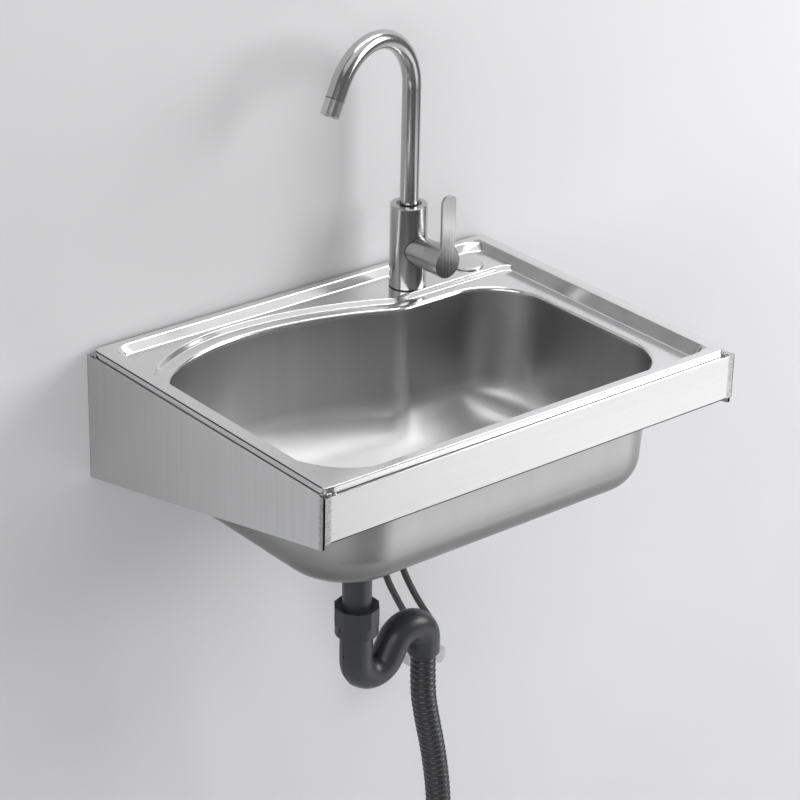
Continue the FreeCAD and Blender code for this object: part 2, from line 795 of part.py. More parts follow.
def make_hex_nut(label, count, radius, height, bore, at):
    """A nut with flats: its corners lie on the radius and its profile is bored out."""
    body = new_body(label)
    outline = plane_sketch(body, "XY_Plane", height[0])
    flats(outline, count, radius)
    pad(body, outline, f"({height[1]}) - ({height[0]})")
    doc.recompute()
    turn_profile(body, bore, "PartDesign::Groove")
    return place(body, at)


def make_tap_fixings():
    deck_under = "-base_seal_thick - sheet_gauge"
    rubber_under = f"{deck_under} - rubber_washer_thick"
    steel_under = f"{rubber_under} - steel_washer_thick"
    clear = "shank_radius + seat_gap"
    turned("tap_base_seal", ring(clear, "base_seal_radius", "-base_seal_thick", "0"), TAP)
    turned("tap_shank", ring("shank_bore", "shank_radius", "-shank_length", "shank_sunk"), TAP)
    turned("tap_rubber_washer", ring(clear, "washer_radius", rubber_under, deck_under), TAP)
    turned("tap_steel_washer", ring(clear, "washer_radius", steel_under, rubber_under), TAP)
    low = f"{steel_under} - backnut_height"
    bore = ring("0", "shank_radius + fit_gap", low, steel_under)
    make_hex_nut("tap_backnut", 6, "backnut_radius", (low, steel_under), bore, TAP)


make_tap_body()
make_tap_fixings()


# Swivel spout

SPOUT_TURN = FreeCAD.Rotation(UP, 270 - s.spout_turn)


def arch_tube(name, radius):
    """A bar along the riser, the arch and the straight outlet, in the spout's own frame."""
    riser = doc.addObject("Part::Cylinder", name + "_riser")
    riser.setExpression("Radius", bound(radius))
    riser.setExpression("Height", bound("spout_rise - tail_seat - seat_gap - tail_length"))
    place(riser, ("0", "0", "tail_seat + seat_gap + tail_length"))
    arch = doc.addObject("Part::Torus", name + "_arch")
    arch.setExpression("Radius1", bound("spout_arch"))
    arch.setExpression("Radius2", bound(radius))
    arch.setExpression("Angle3", bound("spout_sweep"))
    bend_plane = FreeCAD.Rotation(Vector(-1, 0, 0), UP, Vector(0, 1, 0), "ZXY")
    place(arch, ("spout_arch", "0", "spout_rise"), bend_plane)
    outlet = doc.addObject("Part::Cylinder", name + "_outlet")
    outlet.setExpression("Radius", bound(radius))
    outlet.setExpression("Height", bound("spout_outlet"))
    turn = "spout_sweep * 1 deg"
    outlet_at = (f"spout_arch * (1 - cos({turn}))", "0", f"spout_rise + spout_arch * sin({turn})")
    place(outlet, outlet_at, FreeCAD.Rotation(Vector(0, 1, 0), s.spout_sweep))
    bar = doc.addObject("Part::MultiFuse", name)
    bar.Shapes = [riser, arch, outlet]
    return bar


def make_spout():
    tube = doc.addObject("Part::Cut", "spout_tube")
    tube.Base = arch_tube("spout_outer", "spout_radius")
    tube.Tool = arch_tube("spout_inner", "spout_radius - spout_wall")
    place(keep(tube, "spout"), TAP, SPOUT_TURN)
    low = "tail_seat + seat_gap"
    groove = "tail_radius - ring_groove"
    corners = [("waterway_radius", low), ("tail_radius", low)]
    for number in (1, 2):
        start = f"{low} + {number} * ring_pitch - ring_pitch / 2"
        end = f"{start} + ring_width + fit_gap"
        corners += [("tail_radius", start), (groove, start), (groove, end), ("tail_radius", end)]
    shoulder = f"{low} + tail_length"
    spigot = "spout_radius - spout_wall - fit_gap"
    corners += [
        ("tail_radius", shoulder),
        (spigot, shoulder),
        (spigot, f"{shoulder} + tail_length / 2"),
        ("waterway_radius", f"{shoulder} + tail_length / 2"),
    ]
    turned("spout_tail", corners, TAP)
    for number, label in ((1, "lower_spout_seal"), (2, "upper_spout_seal")):
        start = f"{low} + {number} * ring_pitch - ring_pitch / 2 + fit_gap / 2"
        turned(label, ring(groove, "tail_radius + swivel_gap / 2", start, f"{start} + ring_width"), TAP)
    turned("spout_bush", ring(
        "spout_radius + swivel_gap", "collar_radius - fit_gap",
        "tap_body_height - collar_depth", "tap_body_height - collar_recess",
    ), TAP)


def make_aerator():
    """The screwed outlet: a sleeve flush with the spout and the flow insert behind its lip."""
    sweep = math.radians(s.spout_sweep)
    way = Vector(math.sin(sweep), 0, math.cos(sweep))
    end = Vector(s.spout_arch * (1 - math.cos(sweep)), 0, s.spout_rise + s.spout_arch * math.sin(sweep))
    outlet = SPOUT_TURN.multVec(end + way * s.spout_outlet) + Vector(p.tap_x, p.tap_y, p.tap_z)
    turn = SPOUT_TURN.multiply(FreeCAD.Rotation(Vector(0, 1, 0), s.spout_sweep))
    at = [f"{c:.6f}" for c in outlet]
    spigot = "spout_radius - spout_wall - fit_gap"
    bore = f"{spigot} - spout_wall"
    lip = "aerator_length - tap_edge"
    turned("aerator_housing", [
        (bore, "-aerator_thread"),
        (spigot, "-aerator_thread"),
        (spigot, "0"),
        ("spout_radius", "0"),
        ("spout_radius", lip),
        ("spout_radius - tap_edge", "aerator_length"),
        (f"{bore} - tap_edge", "aerator_length"),
        (f"{bore} - tap_edge", lip),
        (bore, lip),
    ], at, turn)
    insert = turned("aerator_insert", [
        ("0", f"{lip} - aerator_insert_length"),
        (f"{bore} - fit_gap", f"{lip} - aerator_insert_length"),
        (f"{bore} - fit_gap", lip),
        ("0", lip),
    ], at, turn)
    holes = plane_sketch(insert, "XY_Plane", lip)
    draw_circle(holes, (f"({bore}) * 0.6", "0"), "spout_wall")
    pattern_around(insert, pocket(insert, holes, "aerator_insert_length"), "6")


make_spout()
make_aerator()


# Side valve and lever, along the branch: local Z points out of the tap and local Y up


def make_valve():
    turned("valve_cartridge", [
        ("0", "cartridge_start + seat_gap"),
        ("cartridge_radius - fit_gap", "cartridge_start + seat_gap"),
        ("cartridge_radius - fit_gap", "cartridge_end"),
        ("driver_radius + swivel_gap", "cartridge_end"),
        ("driver_radius + swivel_gap", "driver_start"),
        ("0", "driver_start"),
    ], BRANCH, BRANCH_TURN)
    turned("cartridge_nut", ring(
        "cartridge_nut_bore", "cartridge_nut_radius - fit_gap", "cartridge_end", "cartridge_nut_end"
    ), BRANCH, BRANCH_TURN)
    low = "driver_start + seat_gap"
    high = "pivot_reach + stem_height / 2"
    driver = turned("cartridge_driver", [
        ("0", low), ("driver_radius", low), ("driver_radius", high), ("0", high)
    ], BRANCH, BRANCH_TURN)
    slot = plane_sketch(driver, "XY_Plane", high)
    draw_outline(slot, [
        ("-driver_slot / 2", "-2 * driver_radius"),
        ("driver_slot / 2", "-2 * driver_radius"),
        ("driver_slot / 2", "2 * driver_radius"),
        ("-driver_slot / 2", "2 * driver_radius"),
    ])
    pocket(driver, slot, f"{high} - pivot_reach + stem_height")
    hole = plane_sketch(driver, "YZ_Plane")
    draw_circle(hole, ("0", "pivot_reach"), "pivot_pin_radius + fit_gap / 2")
    pocket(driver, hole, "4 * driver_radius", both=True)
    pin = new_body("driver_pin")
    section = plane_sketch(pin, "YZ_Plane")
    draw_circle(section, ("0", "pivot_reach"), "pivot_pin_radius")
    pad(pin, section, "2 * driver_radius - 2 * fit_gap - pivot_pin_radius").Midplane = True
    place(pin, BRANCH, BRANCH_TURN)
    stem = new_body("cartridge_stem")
    blade = plane_sketch(stem, "YZ_Plane")
    draw_outline(blade, [
        ("-stem_height / 2", "pivot_reach - stem_height / 2 - fit_gap"),
        ("stem_height / 2", "pivot_reach - stem_height / 2 - fit_gap"),
        ("stem_height / 2", "stem_end"),
        ("-stem_height / 2", "stem_end"),
    ])
    draw_circle(blade, ("0", "pivot_reach"), "pivot_pin_radius + swivel_gap")
    pad(stem, blade, "stem_thick").Midplane = True
    place(stem, BRANCH, BRANCH_TURN)


def make_handle():
    """A cup over the valve with a flat paddle lever in the plane of its face."""
    face = "hub_end - lever_thick"
    body = new_body("handle_lever")
    disc = plane_sketch(body, "XY_Plane", face)
    draw_circle(disc, ("0", "0"), "hub_radius")
    pad(body, disc, "lever_thick")
    paddle = plane_sketch(body, "XY_Plane", face)
    draw_outline(paddle, [
        ("-lever_width / 2", "0"),
        ("lever_width / 2", "0"),
        ("lever_width / 2", "lever_reach"),
        ("-lever_width / 2", "lever_reach"),
    ])
    pad(body, paddle, "lever_thick")
    half = s.lever_width / 2
    root = math.sqrt(p.hub_radius ** 2 - half ** 2)
    for radius, height in (("lever_tip_round", s.lever_reach), ("lever_blend", root)):
        round_edges(body, radius, UP, [Vector(-half, height, 0), Vector(half, height, 0)])
    skirt = plane_sketch(body, "XY_Plane", "hub_start")
    draw_circle(skirt, ("0", "0"), "hub_radius")
    draw_circle(skirt, ("0", "0"), "hub_radius - hub_wall")
    pad(body, skirt, f"{face} - hub_start")
    boss = plane_sketch(body, "XY_Plane", "boss_start")
    draw_circle(boss, ("0", "0"), "boss_radius")
    draw_outline(boss, [
        ("-stem_thick / 2 - fit_gap", "-stem_height / 2 - fit_gap"),
        ("stem_thick / 2 + fit_gap", "-stem_height / 2 - fit_gap"),
        ("stem_thick / 2 + fit_gap", "stem_height / 2 + fit_gap"),
        ("-stem_thick / 2 - fit_gap", "stem_height / 2 + fit_gap"),
    ])
    pad(body, boss, f"{face} - boss_start")
    screw_z = "(boss_start + stem_end) / 2"
    hole = plane_sketch(body, "XZ_Plane")
    draw_circle(hole, ("0", screw_z), "hub_screw_radius")
    pocket(body, hole, "hub_radius + tap_edge", reverse=True)
    place(body, BRANCH, BRANCH_TURN)
    screw = new_body("handle_screw")
    section = plane_sketch(screw, "XZ_Plane", "stem_height / 2")
    draw_circle(section, ("0", screw_z), "hub_screw_radius - fit_gap")
    pad(screw, section, "hub_screw_length")
    place(screw, BRANCH, BRANCH_TURN)


make_valve()
make_handle()


# Cover of the spare tap hole


def make_hole_cover():
    at = ("cover_x", "cover_y", "plateau_z")
    turned("hole_cover", [
        ("0", "-cover_stud_length"),
        ("cover_stud_radius", "-cover_stud_length"),
        ("cover_stud_radius", "0"),
        ("cover_radius", "0"),
        ("cover_radius", "cover_height / 2"),
        ("cover_radius - cover_height / 2", "cover_height"),
        ("0", "cover_height"),
    ], at)
    turned("hole_cover_nut", ring(
        "cover_stud_radius + fit_gap", "cover_nut_radius", "-sheet_gauge - cover_nut_height", "-sheet_gauge"
    ), at)


make_hole_cover()


# Basket strainer

DRAIN = ("drain_x", "drain_y", "drain_z")


def make_strainer():
    foot = "-cup_depth - cup_wall"
    inside = "cup_radius - cup_wall"
    turned("drain_cup", [
        ("outlet_bore", f"{foot} - outlet_length"),
        ("outlet_radius", f"{foot} - outlet_length"),
        ("outlet_radius", foot),
        ("cup_radius", foot),
        ("cup_radius", "0"),
        ("drain_flange_radius", "0"),
        ("drain_flange_radius", "drain_flange_thick / 2"),
        ("drain_flange_radius - drain_flange_thick", "drain_flange_thick"),
        (f"{inside} + drain_flange_thick", "drain_flange_thick"),
        (inside, "0"),
        (inside, "-cup_depth"),
        ("outlet_bore", "-cup_depth"),
    ], DRAIN)
    gasket_under = "-sheet_gauge - gasket_thick"
    nut_under = f"{gasket_under} - backnut_ring_height"
    turned("drain_gasket", ring(
        "cup_radius + seat_gap", "backnut_ring_radius", gasket_under, "-sheet_gauge"
    ), DRAIN)
    nut = turned("drain_backnut", ring(
        "cup_radius + fit_gap", "backnut_ring_radius", nut_under, gasket_under
    ), DRAIN)
    lug = plane_sketch(nut, "XY_Plane", nut_under)
    draw_outline(lug, [
        ("backnut_ring_radius - backnut_lug_reach", "-backnut_lug_width / 2"),
        ("backnut_ring_radius + backnut_lug_reach", "-backnut_lug_width / 2"),
        ("backnut_ring_radius + backnut_lug_reach", "backnut_lug_width / 2"),
        ("backnut_ring_radius - backnut_lug_reach", "backnut_lug_width / 2"),
    ])
    pattern_around(nut, pad(nut, lug, "backnut_ring_height"), "backnut_lug_count")


def make_basket():
    """The lift-out basket with its sealing foot and knob; it stands on the cup's floor."""
    seal_top = "seat_gap + basket_seal_thick - cup_depth"
    top = f"{seal_top} + basket_height"
    turned("basket_seal", ring(
        "outlet_bore + basket_wall", "basket_seal_radius", "seat_gap - cup_depth", seal_top
    ), DRAIN)
    basket = turned("strainer_basket", [
        ("0", seal_top),
        ("basket_foot_radius", seal_top),
        ("basket_radius", f"{top} - basket_wall"),
        ("basket_radius + 2 * basket_wall", f"{top} - basket_wall"),
        ("basket_radius + 2 * basket_wall", top),
        ("basket_radius - basket_wall", top),
        ("basket_foot_radius - basket_wall", f"{seal_top} + basket_wall"),
        ("0", f"{seal_top} + basket_wall"),
    ], DRAIN)
    holes = plane_sketch(basket, "YZ_Plane")
    for share in ("0.3", "0.65"):
        draw_circle(holes, ("0", f"{seal_top} + {share} * basket_height"), "basket_hole_radius")
    pattern_around(basket, pocket(basket, holes, "2 * basket_radius", reverse=True), "basket_hole_count")
    stem_foot = f"{seal_top} + basket_wall"
    knob_top = f"{stem_foot} + knob_height"
    turned("basket_knob", [
        ("0", stem_foot),
        ("knob_stem_radius", stem_foot),
        ("knob_stem_radius", f"{knob_top} - knob_radius"),
        ("knob_radius", f"{knob_top} - knob_radius * 0.75"),
        ("knob_radius", f"{knob_top} - knob_radius * 0.25"),
        ("knob_radius * 0.7", knob_top),
        ("0", knob_top),
    ], DRAIN)


make_strainer()
make_basket()


# Waste pipe and trap

WASTE = ("drain_x", "drain_y", "0")


def make_waste_pipe():
    flange = "outlet_radius - 2 * seat_gap"
    flange_under = "pipe_top_z - tailpipe_flange"
    bore = "tailpipe_radius - tailpipe_wall"
    clear = "tailpipe_radius + pipe_gap"
    turned("coupling_washer", ring("outlet_bore", flange, "pipe_top_z", "outlet_z"), WASTE)
    turned("tailpipe", [
        (bore, "pipe_end_z"),
        ("tailpipe_radius", "pipe_end_z"),
        ("tailpipe_radius", flange_under),
        (flange, flange_under),
        (flange, "pipe_top_z"),
        (bore, "pipe_top_z"),
    ], WASTE)
    nut_low = f"{flange_under} - coupling_lip"
    nut_high = f"{nut_low} + coupling_nut_height"
    make_hex_nut("coupling_nut", 8, "coupling_nut_radius", (nut_low, nut_high), [
        ("0", nut_low),
        (clear, nut_low),
        (clear, flange_under),
        ("outlet_radius + fit_gap", flange_under),
        ("outlet_radius + fit_gap", nut_high),
        ("0", nut_high),
    ], WASTE)
    lip = "trap_nut_z - trap_nut_lip"
    make_hex_nut("trap_nut", round(s.trap_nut_flats), "trap_nut_radius", ("trap_collar_z", "trap_nut_z"), [
        ("0", "trap_collar_z"),
        ("trap_thread_radius + fit_gap", "trap_collar_z"),
        ("trap_thread_radius + fit_gap", lip),
        (clear, lip),
        (clear, f"{lip} + trap_nut_lip / 2"),
        ("trap_thread_radius - fit_gap", "trap_nut_z"),
        ("0", "trap_nut_z"),
    ], WASTE)
    turned("trap_washer", ring(
        "tailpipe_radius + fit_gap", "trap_thread_radius - fit_gap", "trap_end_z", lip
    ), WASTE)


def trap_path(tail):
    """The trap's centre line in its own upright plane, lengthened at the outlet by a tail."""
    bend = s.trap_bend
    low_z = p.trap_pipe_z - s.trap_leg
    high_z = low_z + s.trap_rise
    low = Vector(bend, 0, low_z)
    high = Vector(p.trap_offset - bend, 0, high_z)
    between = high - low
    lean = math.atan2(between.z, between.x) - math.acos(2 * bend / between.Length)
    spoke = Vector(math.cos(lean), 0, math.sin(lean)) * bend
    middle_low = low + Vector(math.cos((lean - math.pi) / 2), 0, math.sin((lean - math.pi) / 2)) * bend
    middle_high = high + Vector(math.cos((lean + math.pi) / 2), 0, math.sin((lean + math.pi) / 2)) * bend
    start = Vector(0, 0, p.trap_pipe_z + tail)
    end = Vector(p.trap_offset, 0, high_z - s.trap_outlet - tail)
    return Part.Wire([
        Part.makeLine(start, Vector(0, 0, low_z)),
        Part.Arc(Vector(0, 0, low_z), middle_low, low + spoke).toShape(),
        Part.makeLine(low + spoke, high - spoke),
        Part.Arc(high - spoke, middle_high, Vector(p.trap_offset, 0, high_z)).toShape(),
        Part.makeLine(Vector(p.trap_offset, 0, high_z), end),
    ])


def pipe_along(path, radius):
    """A round bar along a path of lines and tangent arcs."""
    start = path.Edges[0].valueAt(path.Edges[0].FirstParameter)
    way = path.Edges[0].tangentAt(path.Edges[0].FirstParameter)
    ring_wire = Part.Wire(Part.makeCircle(radius, start, way))
    return path.makePipeShell([ring_wire], True, False)


def make_trap():
    """A one-piece swept trap with a threaded socket for the waste pipe."""
    def upright(radius, low, high):
        return Part.makeCylinder(radius, high - low, Vector(0, 0, low))
    thread = upright(p.trap_thread_radius, p.trap_collar_z, p.trap_end_z)
    collar = upright(p.trap_collar_radius, p.trap_pipe_z, p.trap_collar_z)
    solid = pipe_along(trap_path(0), p.trap_pipe_radius).fuse([thread, collar])
    waterway = pipe_along(trap_path(s.seat_gap), p.trap_pipe_radius - s.trap_pipe_wall)
    socket = upright(s.tailpipe_radius + s.pipe_gap, p.pipe_end_z, p.trap_end_z)
    throat = upright(p.trap_pipe_radius - s.trap_pipe_wall, p.trap_pipe_z, p.pipe_end_z)
    hollow = solid.cut(waterway).cut(socket)
    if p.pipe_end_z > p.trap_pipe_z:
        hollow = hollow.cut(throat)
    shaped("trap_body", hollow.removeSplitter().Solids[0], Vector(p.drain_x, p.drain_y, 0))


make_waste_pipe()
make_trap()


# Hoses

# Route points of the hoses, from where each one starts: the ribbed waste hose from the trap's outlet,
# the supply hoses from the foot of their threaded tails in the tap.
WASTE_ROUTE = [
    (0, 0, 8), (0, 0, -49), (6, 0, -87), (21.5, 0, -153),
    (31.5, 0, -219), (33.5, 0, -283), (30.5, 0, -347), (30.5, 0, -409),
]
LEFT_ROUTE = [
    (0, 0, 0), (0, 0, -63), (-7, 4, -158), (-20, 10, -253), (-23, 13, -343),
    (-10, 14, -404), (17, 14, -458), (42, 14, -503), (42, 14, -541),
]
RIGHT_ROUTE = [
    (0, 0, 0), (0, 0, -63), (-3, 4, -158), (-9, 10, -253), (-9, 13, -343),
    (7, 14, -404), (38, 14, -466), (68, 14, -512), (68, 14, -549),
]
ARC_SHARE = 0.45


def rounded_path(points):
    """Straight runs joined by tangent arcs as large as their runs allow, with the arcs' radii."""
    edges = []
    radii = []
    here = points[0]
    for before, corner, after in zip(points, points[1:], points[2:]):
        back = (before - corner).normalize()
        ahead = (after - corner).normalize()
        reach = ARC_SHARE * min((before - corner).Length, (after - corner).Length)
        half = back.getAngle(ahead) / 2
        radius = reach * math.tan(half)
        bisector = (back + ahead).normalize()
        first = corner + back * reach
        last = corner + ahead * reach
        top = corner + bisector * (radius / math.sin(half) - radius)
        edges.append(Part.makeLine(here, first))
        edges.append(Part.Arc(first, top, last).toShape())
        radii.append(radius)
        here = last
    edges.append(Part.makeLine(here, points[-1]))
    return Part.Wire(edges), radii


def stations(path, distances):
    """The point and heading at each distance along a path."""
    found = []
    for distance in distances:
        left = distance
        for edge in path.Edges:
            if left <= edge.Length + 1e-7 or edge is path.Edges[-1]:
                break
            left -= edge.Length
        at = edge.getParameterByLength(min(left, edge.Length))
        found.append((edge.valueAt(at), edge.tangentAt(at)))
    return found


def circles_along(path, rows):
    """Circles of (distance, radius) square to the path, on a steady X axis."""
    steady = Vector(0, 1, 0)
    wires = []
    for (centre, way), (_, radius) in zip(stations(path, [d for d, _ in rows]), rows):
        turn = FreeCAD.Rotation(steady, way.cross(steady), way, "ZXY")
        wire = Part.Wire(Part.makeCircle(radius))
        wire.Placement = FreeCAD.Placement(centre, turn)
        wires.append(wire)
    return wires


def make_waste_hose():
    """The ribbed hose: each rib is a root, a flank, a crest and a flank round the bore."""
    path, radii = rounded_path([Vector(*point) for point in WASTE_ROUTE])
    count = int((path.Length - s.hose_cuff_cover) / s.hose_pitch)
    rows = []
    for number in range(count):
        start = number * s.hose_pitch
        rows.append((start, s.hose_root_radius))
        rows.append((start + 0.2 * s.hose_pitch, s.hose_radius))
        rows.append((start + 0.6 * s.hose_pitch, s.hose_radius))
        rows.append((start + 0.8 * s.hose_pitch, s.hose_root_radius))
    rows.append((path.Length, s.hose_root_radius))
    outside = Part.makeLoft(circles_along(path, rows), True, True)
    bore = pipe_along(path, s.hose_bore_radius)
    at = Vector(p.trap_out_x, p.drain_y, p.trap_out_z)
    shaped("drain_hose", outside.cut(bore), at)
    print("waste hose", round(path.Length, 1), "ribs", count, "bends", [round(r) for r in radii])
    turned("hose_seal", ring(
        "hose_radius + fit_gap", "trap_pipe_radius - trap_pipe_wall - fit_gap",
        "trap_out_z + tap_edge", "trap_out_z + hose_pitch",
    ), ("trap_out_x", "drain_y", "0"))
    end = at + Vector(*WASTE_ROUTE[-1])
    turned("hose_cuff", [
        ("hose_bore_radius", "hose_cuff_cover - hose_cuff_length"),
        ("hose_cuff_radius", "hose_cuff_cover - hose_cuff_length"),
        ("hose_cuff_radius", "hose_cuff_cover - 2 * fit_gap"),
        ("hose_root_radius + fit_gap", "hose_cuff_cover - 2 * fit_gap"),
        ("hose_root_radius + fit_gap", "0"),
        ("hose_bore_radius", "0"),
    ], [f"{c:.6f}" for c in end])


def make_supply_hose(side, route):
    """A plain flexible hose from the tap's inlet down to a ferrule and a union nut."""
    sign = -1 if side == "left" else 1
    tail_foot = s.shank_sunk - s.supply_tail_sunk / 2
    start = Vector(p.tap_x + sign * s.supply_spacing / 2, p.tap_y, p.tap_z + tail_foot)
    at = [f"{c:.6f}" for c in start]
    turned(f"{side}_hose_tail", ring(
        "supply_tail_bore", "supply_tail_radius", "0", "supply_tail_sunk * 1.5"
    ), at)
    path, radii = rounded_path([start + Vector(*point) for point in route])
    hose = pipe_along(path, s.supply_radius)
    expected = math.pi * s.supply_radius ** 2 * path.Length
    print(side, "hose", round(path.Length, 1), "volume share", round(hose.Volume / expected, 4),
          "bends", [round(r) for r in radii])
    shaped(f"{side}_supply_hose", hose)
    end = [f"{c:.6f}" for c in start + Vector(*route[-1])]
    turned(f"{side}_hose_ferrule", [
        ("supply_tail_bore", "-supply_nipple_thick"),
        ("supply_nipple_radius", "-supply_nipple_thick"),
        ("supply_nipple_radius", "0"),
        ("supply_ferrule_radius", "0"),
        ("supply_ferrule_radius", "supply_ferrule_length"),
        ("supply_radius + fit_gap", "supply_ferrule_length"),
        ("supply_radius + fit_gap", "0"),
        ("supply_tail_bore", "0"),
    ], end)
    low = "supply_nut_neck - supply_nut_height"
    seat = "-supply_nipple_thick"
    make_hex_nut(f"{side}_union_nut", 6, "supply_nut_flats / sqrt(3)", (low, "supply_nut_neck"), [
        ("0", low),
        ("supply_nut_thread_radius", low),
        ("supply_nut_thread_radius", seat),
        ("supply_nipple_radius + fit_gap", seat),
        ("supply_nipple_radius + fit_gap", "0"),
        ("supply_ferrule_radius + seat_gap", "0"),
        ("supply_ferrule_radius + seat_gap", "supply_nut_neck"),
        ("0", "supply_nut_neck"),
    ], end)


make_waste_hose()
make_supply_hose("left", LEFT_ROUTE)
make_supply_hose("right", RIGHT_ROUTE)


# Check every object, then write each piece


def write_pieces():
    doc.recompute()
    for item in doc.Objects:
        if "Invalid" in item.State or "Error" in item.State:
            raise RuntimeError(f"{item.Label} failed: {item.State}")
    for label, item in pieces.items():
        if item.Shape.isNull() or not item.Shape.isValid() or not item.Shape.Solids:
            raise RuntimeError(f"{label} has no valid solid")
    os.makedirs("parts", exist_ok=True)
    for label, item in pieces.items():
        item.Shape.exportStep(os.path.join("parts", label + ".step"))


write_pieces()
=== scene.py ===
import json
import math

import bmesh
import bpy
import numpy as np
from mathutils import Matrix, Vector, noise


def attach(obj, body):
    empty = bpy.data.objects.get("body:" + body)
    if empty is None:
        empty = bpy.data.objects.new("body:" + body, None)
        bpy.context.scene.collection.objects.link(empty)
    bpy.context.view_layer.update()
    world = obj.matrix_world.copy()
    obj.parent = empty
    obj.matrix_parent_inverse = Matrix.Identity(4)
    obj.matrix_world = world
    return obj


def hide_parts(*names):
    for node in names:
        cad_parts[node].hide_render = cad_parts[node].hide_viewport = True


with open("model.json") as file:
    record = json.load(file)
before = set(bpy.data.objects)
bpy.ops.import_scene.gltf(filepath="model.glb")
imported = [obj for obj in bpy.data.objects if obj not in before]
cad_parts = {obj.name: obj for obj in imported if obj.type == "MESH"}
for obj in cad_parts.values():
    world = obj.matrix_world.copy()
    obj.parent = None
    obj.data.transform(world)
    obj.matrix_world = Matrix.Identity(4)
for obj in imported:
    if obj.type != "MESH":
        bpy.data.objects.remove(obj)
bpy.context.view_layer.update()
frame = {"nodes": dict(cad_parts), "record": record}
nodes = frame["nodes"]
MM = 0.001


# Sizes and places of the solids in millimetres: left, right, front and rear, or x and y

RIM = (-293.5, 286.5, -436.0, -5.0)
DECK = (RIM[0] + 17.0, RIM[1] - 15.0, RIM[2] + 12.0, RIM[3] - 11.0)
BORDER_WIDTH = 9.5
REAR_BORDER_WIDTH = 18.0
RIM_Z = 90.0
SKIRT_HEIGHT = 9.0
PLATEAU_Z = 80.5
DECK_Z = 75.0
FLOOR_Z = -88.0
SEAT_Z = -92.0
GAUGE = 0.8
DRAIN = (-82.5, -228.0)
TAP = (123.7, -58.4)
SPARE_HOLE = (220.5, -56.5)
RAIL_FRONT = -440.0
RAIL_Z = 27.0


# Camera, at the photograph's viewing angle

CAMERA_PLACE = (-1.8467, -2.4256, 1.4101)
CAMERA_LENS = 125.03
YAW = math.radians(39.671)
PITCH = math.radians(25.739)
ROLL = math.radians(1.286)


def add_camera():
    ahead = Vector((math.sin(YAW) * math.cos(PITCH), math.cos(YAW) * math.cos(PITCH), -math.sin(PITCH)))
    side = ahead.cross(Vector((0, 0, 1))).normalized()
    over = side.cross(ahead)
    right = side * math.cos(ROLL) + over * math.sin(ROLL)
    up = over * math.cos(ROLL) - side * math.sin(ROLL)
    data = bpy.data.cameras.new("camera")
    data.sensor_width = 36.0
    data.lens = CAMERA_LENS
    data.clip_start = 0.05
    data.clip_end = 50.0
    camera = bpy.data.objects.new("camera", data)
    bpy.context.collection.objects.link(camera)
    turn = Matrix((right, up, -ahead)).transposed().to_4x4()
    camera.matrix_world = Matrix.Translation(CAMERA_PLACE) @ turn
    bpy.context.scene.camera = camera


add_camera()
bpy.context.scene.view_settings.view_transform = "Standard"


# Materials

